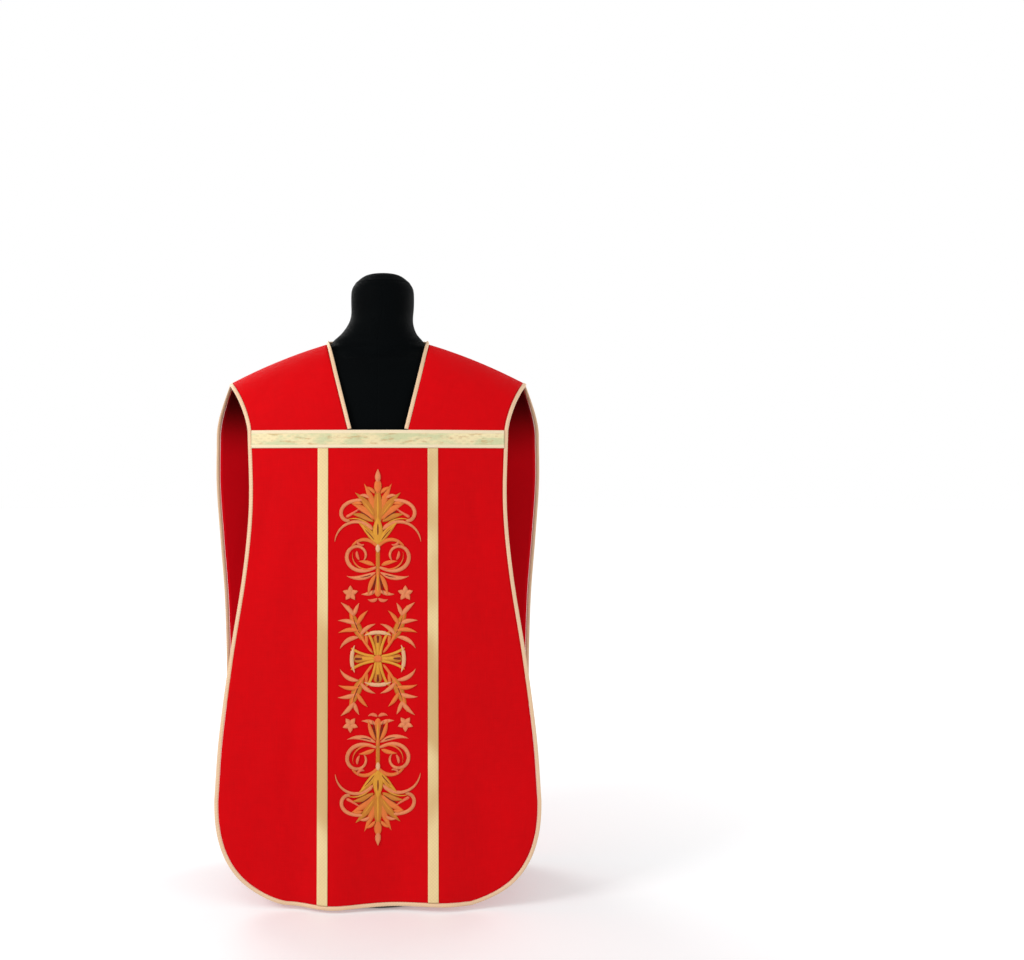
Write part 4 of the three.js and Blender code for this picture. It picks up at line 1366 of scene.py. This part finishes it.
class ChasubleFrontPanel(bpy.types.Operator):
    """Make the front panel below the chest seam"""

    bl_idname = "chasuble.front_panel"
    bl_label = "Front panel"

    def execute(self, context):
        cloth = context.scene.chasuble_cloth
        faces = [red_cloth(cloth), red_lining(cloth)]
        points = front_cloth().points
        sheet_piece("front_panel_cloth", points, faces, "front_panel", PANEL_WALL, True)
        return {"FINISHED"}


class ChasubleYokes(bpy.types.Operator):
    """Make the two yokes over the shoulders"""

    bl_idname = "chasuble.yokes"
    bl_label = "Yokes"

    def execute(self, context):
        cloth = context.scene.chasuble_cloth
        faces = [red_cloth(cloth), red_lining(cloth)]
        for name, side in (("yoke_left", -1), ("yoke_right", 1)):
            points = yoke_cloth(side).points
            sheet_piece(f"{name}_cloth", points, faces, name, PANEL_WALL, True)
        return {"FINISHED"}


class ChasubleBackPanel(bpy.types.Operator):
    """Make the back panel"""

    bl_idname = "chasuble.back_panel"
    bl_label = "Back panel"

    def execute(self, context):
        faces = [red_cloth(context.scene.chasuble_cloth)]
        points = back_cloth().points
        sheet_piece("back_panel_cloth", points, faces, "back_panel", PANEL_WALL)
        return {"FINISHED"}


class ChasubleBackLining(bpy.types.Operator):
    """Make the lining behind the back panel"""

    bl_idname = "chasuble.back_lining"
    bl_label = "Back lining"

    def execute(self, context):
        cloth = back_cloth()
        points = cloth.points - cloth.normals * (PANEL_WALL / 2 + SEAM_GAP + LINING_WALL / 2)
        faces = [red_lining(context.scene.chasuble_cloth)]
        sheet_piece("back_lining_cloth", points, faces, "back_lining", LINING_WALL)
        return {"FINISHED"}


class ChasubleChestBand(bpy.types.Operator):
    """Make the wide galloon over the chest seam"""

    bl_idname = "chasuble.chest_band"
    bl_label = "Chest band"

    def execute(self, context):
        half = CHEST.half
        ends = [(-half, BAND_FOOT), (-half, BAND_TOP), (half, BAND_FOOT), (half, BAND_TOP)]
        points = strip_points(chest_point, ends, 1, across=16, step=2.5)
        faces = [chest_galloon(context.scene.chasuble_trim)]
        sheet_piece("chest_band_galloon", points, faces, "chest_band", GALLOON_WALL)
        return {"FINISHED"}


class ChasubleFrontGalloons(bpy.types.Operator):
    """Make the two upright galloons on the front"""

    bl_idname = "chasuble.front_galloons"
    bl_label = "Front galloons"

    def execute(self, context):
        faces = [gold_galloon(context.scene.chasuble_trim)]
        top, foot = BAND_FOOT - SEAM_GAP, FRONT_HEM.z
        for name, left in (("front_galloon_left", -STRIP_OUTER), ("front_galloon_right", STRIP_INNER)):
            right = left + GALLOON_WIDE
            ends = [(left, top), (right, top), (left, foot), (right, foot)]
            points = strip_points(front_point, ends, 1)
            sheet_piece(f"{name}_woven", points, faces, name, GALLOON_WALL)
        return {"FINISHED"}


class ChasubleCrossGalloon(bpy.types.Operator):
    """Make the galloon laid as an outlined cross on the back"""

    bl_idname = "chasuble.cross_galloon"
    bl_label = "Cross galloon"

    def execute(self, context):
        outer, inner = cross_outline(0), cross_outline(GALLOON_WIDE)
        bm = bmesh.new()
        for i, start in enumerate(outer):
            after = (i + 1) % len(outer)
            ends = [start, inner[i], outer[after], inner[after]]
            lay_grid(bm, strip_points(back_point, ends, -1))
        bmesh.ops.remove_doubles(bm, verts=bm.verts, dist=MITRE_WELD)
        faces = [cream_galloon(context.scene.chasuble_trim)]
        piece = finished_piece("cross_galloon_woven", bm, faces, "cross_galloon")
        give_wall(piece, GALLOON_WALL)
        return {"FINISHED"}


class ChasubleBraids(bpy.types.Operator):
    """Make the narrow braids round the free edges and the neckline"""

    bl_idname = "chasuble.braids"
    bl_label = "Edge braids"

    def execute(self, context):
        faces = [gold_braid(context.scene.chasuble_trim)]
        for name, run in (
            ("front_edge_braid", front_edge_run()),
            ("back_edge_braid", back_edge_run()),
            ("neck_braid", neck_run()),
        ):
            tube_piece(f"{name}_plait", braid_points(run), faces, name)
        return {"FINISHED"}


class ChasubleFrontEmbroidery(bpy.types.Operator):
    """Embroider the front: a palmette, a cross with leaf sprays and an inverted palmette"""

    bl_idname = "chasuble.front_embroidery"
    bl_label = "Front embroidery"

    def execute(self, context):
        thread = context.scene.chasuble_thread
        embroidered_piece("front_embroidery", FRONT_PLACES, front_point, 1, thread)
        return {"FINISHED"}


class ChasubleBackEmbroidery(bpy.types.Operator):
    """Embroider the back: five palmettes, a cross with leaf sprays and a round medallion"""

    bl_idname = "chasuble.back_embroidery"
    bl_label = "Back embroidery"

    def execute(self, context):
        thread = context.scene.chasuble_thread
        embroidered_piece("back_embroidery", BACK_PLACES, back_point, -1, thread)
        return {"FINISHED"}


class ChasubleFormTorso(bpy.types.Operator):
    """Make the dress form's covered torso and neck"""

    bl_idname = "chasuble.form_torso"
    bl_label = "Form torso"

    def execute(self, context):
        faces = [black_jersey(context.scene.chasuble_form)]
        tube_piece("form_torso_cover", form_points(), faces, "form_torso")
        return {"FINISHED"}


class ChasubleFormStand(bpy.types.Operator):
    """Make the dress form's pole and base"""

    bl_idname = "chasuble.form_stand"
    bl_label = "Form stand"

    def execute(self, context):
        form = context.scene.chasuble_form
        spun_piece("form_pole_tube", POLE_PROFILE, [brushed_steel(form)], "form_pole")
        spun_piece("form_base_plate", BASE_PROFILE, [black_coat(form)], "form_base")
        return {"FINISHED"}


class ChasubleStage(bpy.types.Operator):
    """Set the floor, the lamps, the white surroundings and the camera"""

    bl_idname = "chasuble.stage"
    bl_label = "Stage"

    def execute(self, context):
        stage = context.scene.chasuble_stage
        lay_floor(stage)
        for name, setting, share, place, size in LAMPS:
            hang_lamp(name, Vector(place), size, getattr(stage, setting) * share)
        light_surroundings(context.scene, stage.white)
        set_camera(context.scene)
        return {"FINISHED"}


def front_edge_run():
    """Down the left armhole and side, along the hem, and up the right side."""
    left, front, right = yoke_cloth(-1), front_cloth(), yoke_cloth(1)
    return edge_run([
        edge_of(left, np.s_[:, 0]), edge_of(front, np.s_[:, 0]), edge_of(front, -1),
        edge_of(front, np.s_[::-1, -1]), edge_of(right, np.s_[::-1, -1]),
    ], 1)


def back_edge_run():
    """Down one side of the back, along the hem, and up the other."""
    back = back_cloth()
    places = (np.s_[:, -1], np.s_[-1, ::-1], np.s_[::-1, 0])
    return edge_run([edge_of(back, place) for place in places], -1)


def neck_run():
    """Up the left yoke from the chest band, round the nape, and down the right yoke."""
    left, back, right = yoke_cloth(-1), back_cloth(), yoke_cloth(1)
    above = np.flatnonzero(left.points[:, -1, 2] > BAND_TOP + SEAM_GAP)
    nape = np.flatnonzero(np.abs(back.points[0, :, 0]) <= SHOULDER.neck_x + 0.01)
    return edge_run([
        edge_of(left, (above[::-1], -1)), edge_of(back, (0, nape[::-1])), edge_of(right, (above, 0)),
    ], 1, stand=True)


def lay_floor(stage):
    """A wide round floor under the form."""
    bm = bmesh.new()
    bmesh.ops.create_circle(bm, cap_ends=True, radius=FLOOR_RADIUS, segments=96)
    bmesh.ops.recalc_face_normals(bm, faces=bm.faces)
    floor = mesh_object("studio_floor", bm, [pale_floor(stage)])
    floor.visible_diffuse = False


def hang_lamp(name, place, size, power):
    """A soft square lamp that faces the middle of the garment."""
    data = bpy.data.lights.new(name, "AREA")
    data.energy, data.size = power, size
    lamp = placed(name, data)
    lamp.location = place
    lamp.rotation_euler = (LIT_MIDDLE - place).to_track_quat("-Z", "Y").to_euler()


def light_surroundings(scene, brightness):
    """Even white light from all round, with a plain white backdrop behind the object."""
    world = bpy.data.worlds.new("white surroundings")
    world.use_nodes = True
    nodes, links = world.node_tree.nodes, world.node_tree.links
    background = nodes["Background"]
    background.inputs["Color"].default_value = (1, 1, 1, 1)
    seen = nodes.new("ShaderNodeLightPath").outputs["Is Camera Ray"]
    strength = nodes.new("ShaderNodeMapRange")
    strength.inputs["To Min"].default_value = brightness
    links.new(seen, strength.inputs["Value"])
    links.new(strength.outputs["Result"], background.inputs["Strength"])
    scene.world = world
    scene.view_settings.view_transform = "Standard"


def set_camera(scene):
    """A level camera straight before the front."""
    data = bpy.data.cameras.new("photo camera")
    data.lens, data.sensor_width, data.shift_x = CAMERA.lens, CAMERA.sensor, CAMERA.shift
    camera = placed("photo camera", data)
    camera.location = CAMERA.place
    camera.rotation_euler = (math.radians(90), 0, 0)
    scene.camera = camera


class ChasublePanel(bpy.types.Panel):
    """Buttons and settings of the chasuble"""

    bl_idname = "VIEW3D_PT_chasuble"
    bl_label = "Chasuble"
    bl_space_type = "VIEW_3D"
    bl_region_type = "UI"
    bl_category = "Chasuble"

    def draw(self, context):
        for operator in OPERATORS:
            self.layout.operator(operator.bl_idname)
        for attribute, group in SETTINGS.items():
            settings = getattr(context.scene, attribute)
            box = self.layout.box()
            box.label(text=group.__doc__)
            for name in group.__annotations__:
                box.prop(settings, name)


SETTINGS = {
    "chasuble_cloth": ChasubleClothSettings,
    "chasuble_trim": ChasubleTrimSettings,
    "chasuble_thread": ChasubleThreadSettings,
    "chasuble_form": ChasubleFormSettings,
    "chasuble_stage": ChasubleStageSettings,
}
OPERATORS = (
    ChasubleFormTorso, ChasubleFormStand, ChasubleFrontPanel, ChasubleYokes, ChasubleBackPanel,
    ChasubleBackLining, ChasubleChestBand, ChasubleFrontGalloons, ChasubleCrossGalloon,
    ChasubleBraids, ChasubleFrontEmbroidery, ChasubleBackEmbroidery, ChasubleStage,
)


def register():
    """Adds the settings, the operators and the panel."""
    for kind in (*SETTINGS.values(), *OPERATORS, ChasublePanel):
        bpy.utils.register_class(kind)
    for attribute, group in SETTINGS.items():
        setattr(bpy.types.Scene, attribute, bpy.props.PointerProperty(type=group))


def unregister():
    """Takes them away again."""
    for attribute in SETTINGS:
        delattr(bpy.types.Scene, attribute)
    for kind in reversed((*SETTINGS.values(), *OPERATORS, ChasublePanel)):
        bpy.utils.unregister_class(kind)


# Which sheets of cloth hang or lie where, and what is sewn on each
SHEETS = {
    "front_panel_cloth": (front_cloth, "hung", ["chest_band_galloon"], [
        "chest_band_galloon", "front_galloon_left_woven", "front_galloon_right_woven",
        "front_edge_braid_plait", "front_embroidery",
    ]),
    "yoke_left_cloth": (lambda: yoke_cloth(-1), "draped", ["form_torso_cover"], []),
    "yoke_right_cloth": (lambda: yoke_cloth(1), "draped", ["form_torso_cover"], []),
    "back_panel_cloth": (back_cloth, "draped", ["form_torso_cover"], [
        "cross_galloon_woven", "back_edge_braid_plait", "neck_braid_plait", "back_embroidery",
    ]),
    "back_lining_cloth": (back_cloth, "hung", ["back_panel_cloth"], []),
}


def declare_sheets():
    """Works out the flat size and area of each sheet, and keeps neither."""
    for name, (cloth, held, rests_on, trims) in SHEETS.items():
        flat, area = flat_size(cloth().points)
        min(area, flat[0] * flat[1])


def main():
    """Builds every piece and the stage."""
    register()
    for operator in OPERATORS:
        group, name = operator.bl_idname.split(".")
        getattr(getattr(bpy.ops, group), name)()
    declare_sheets()


if __name__ == "__main__":
    main()
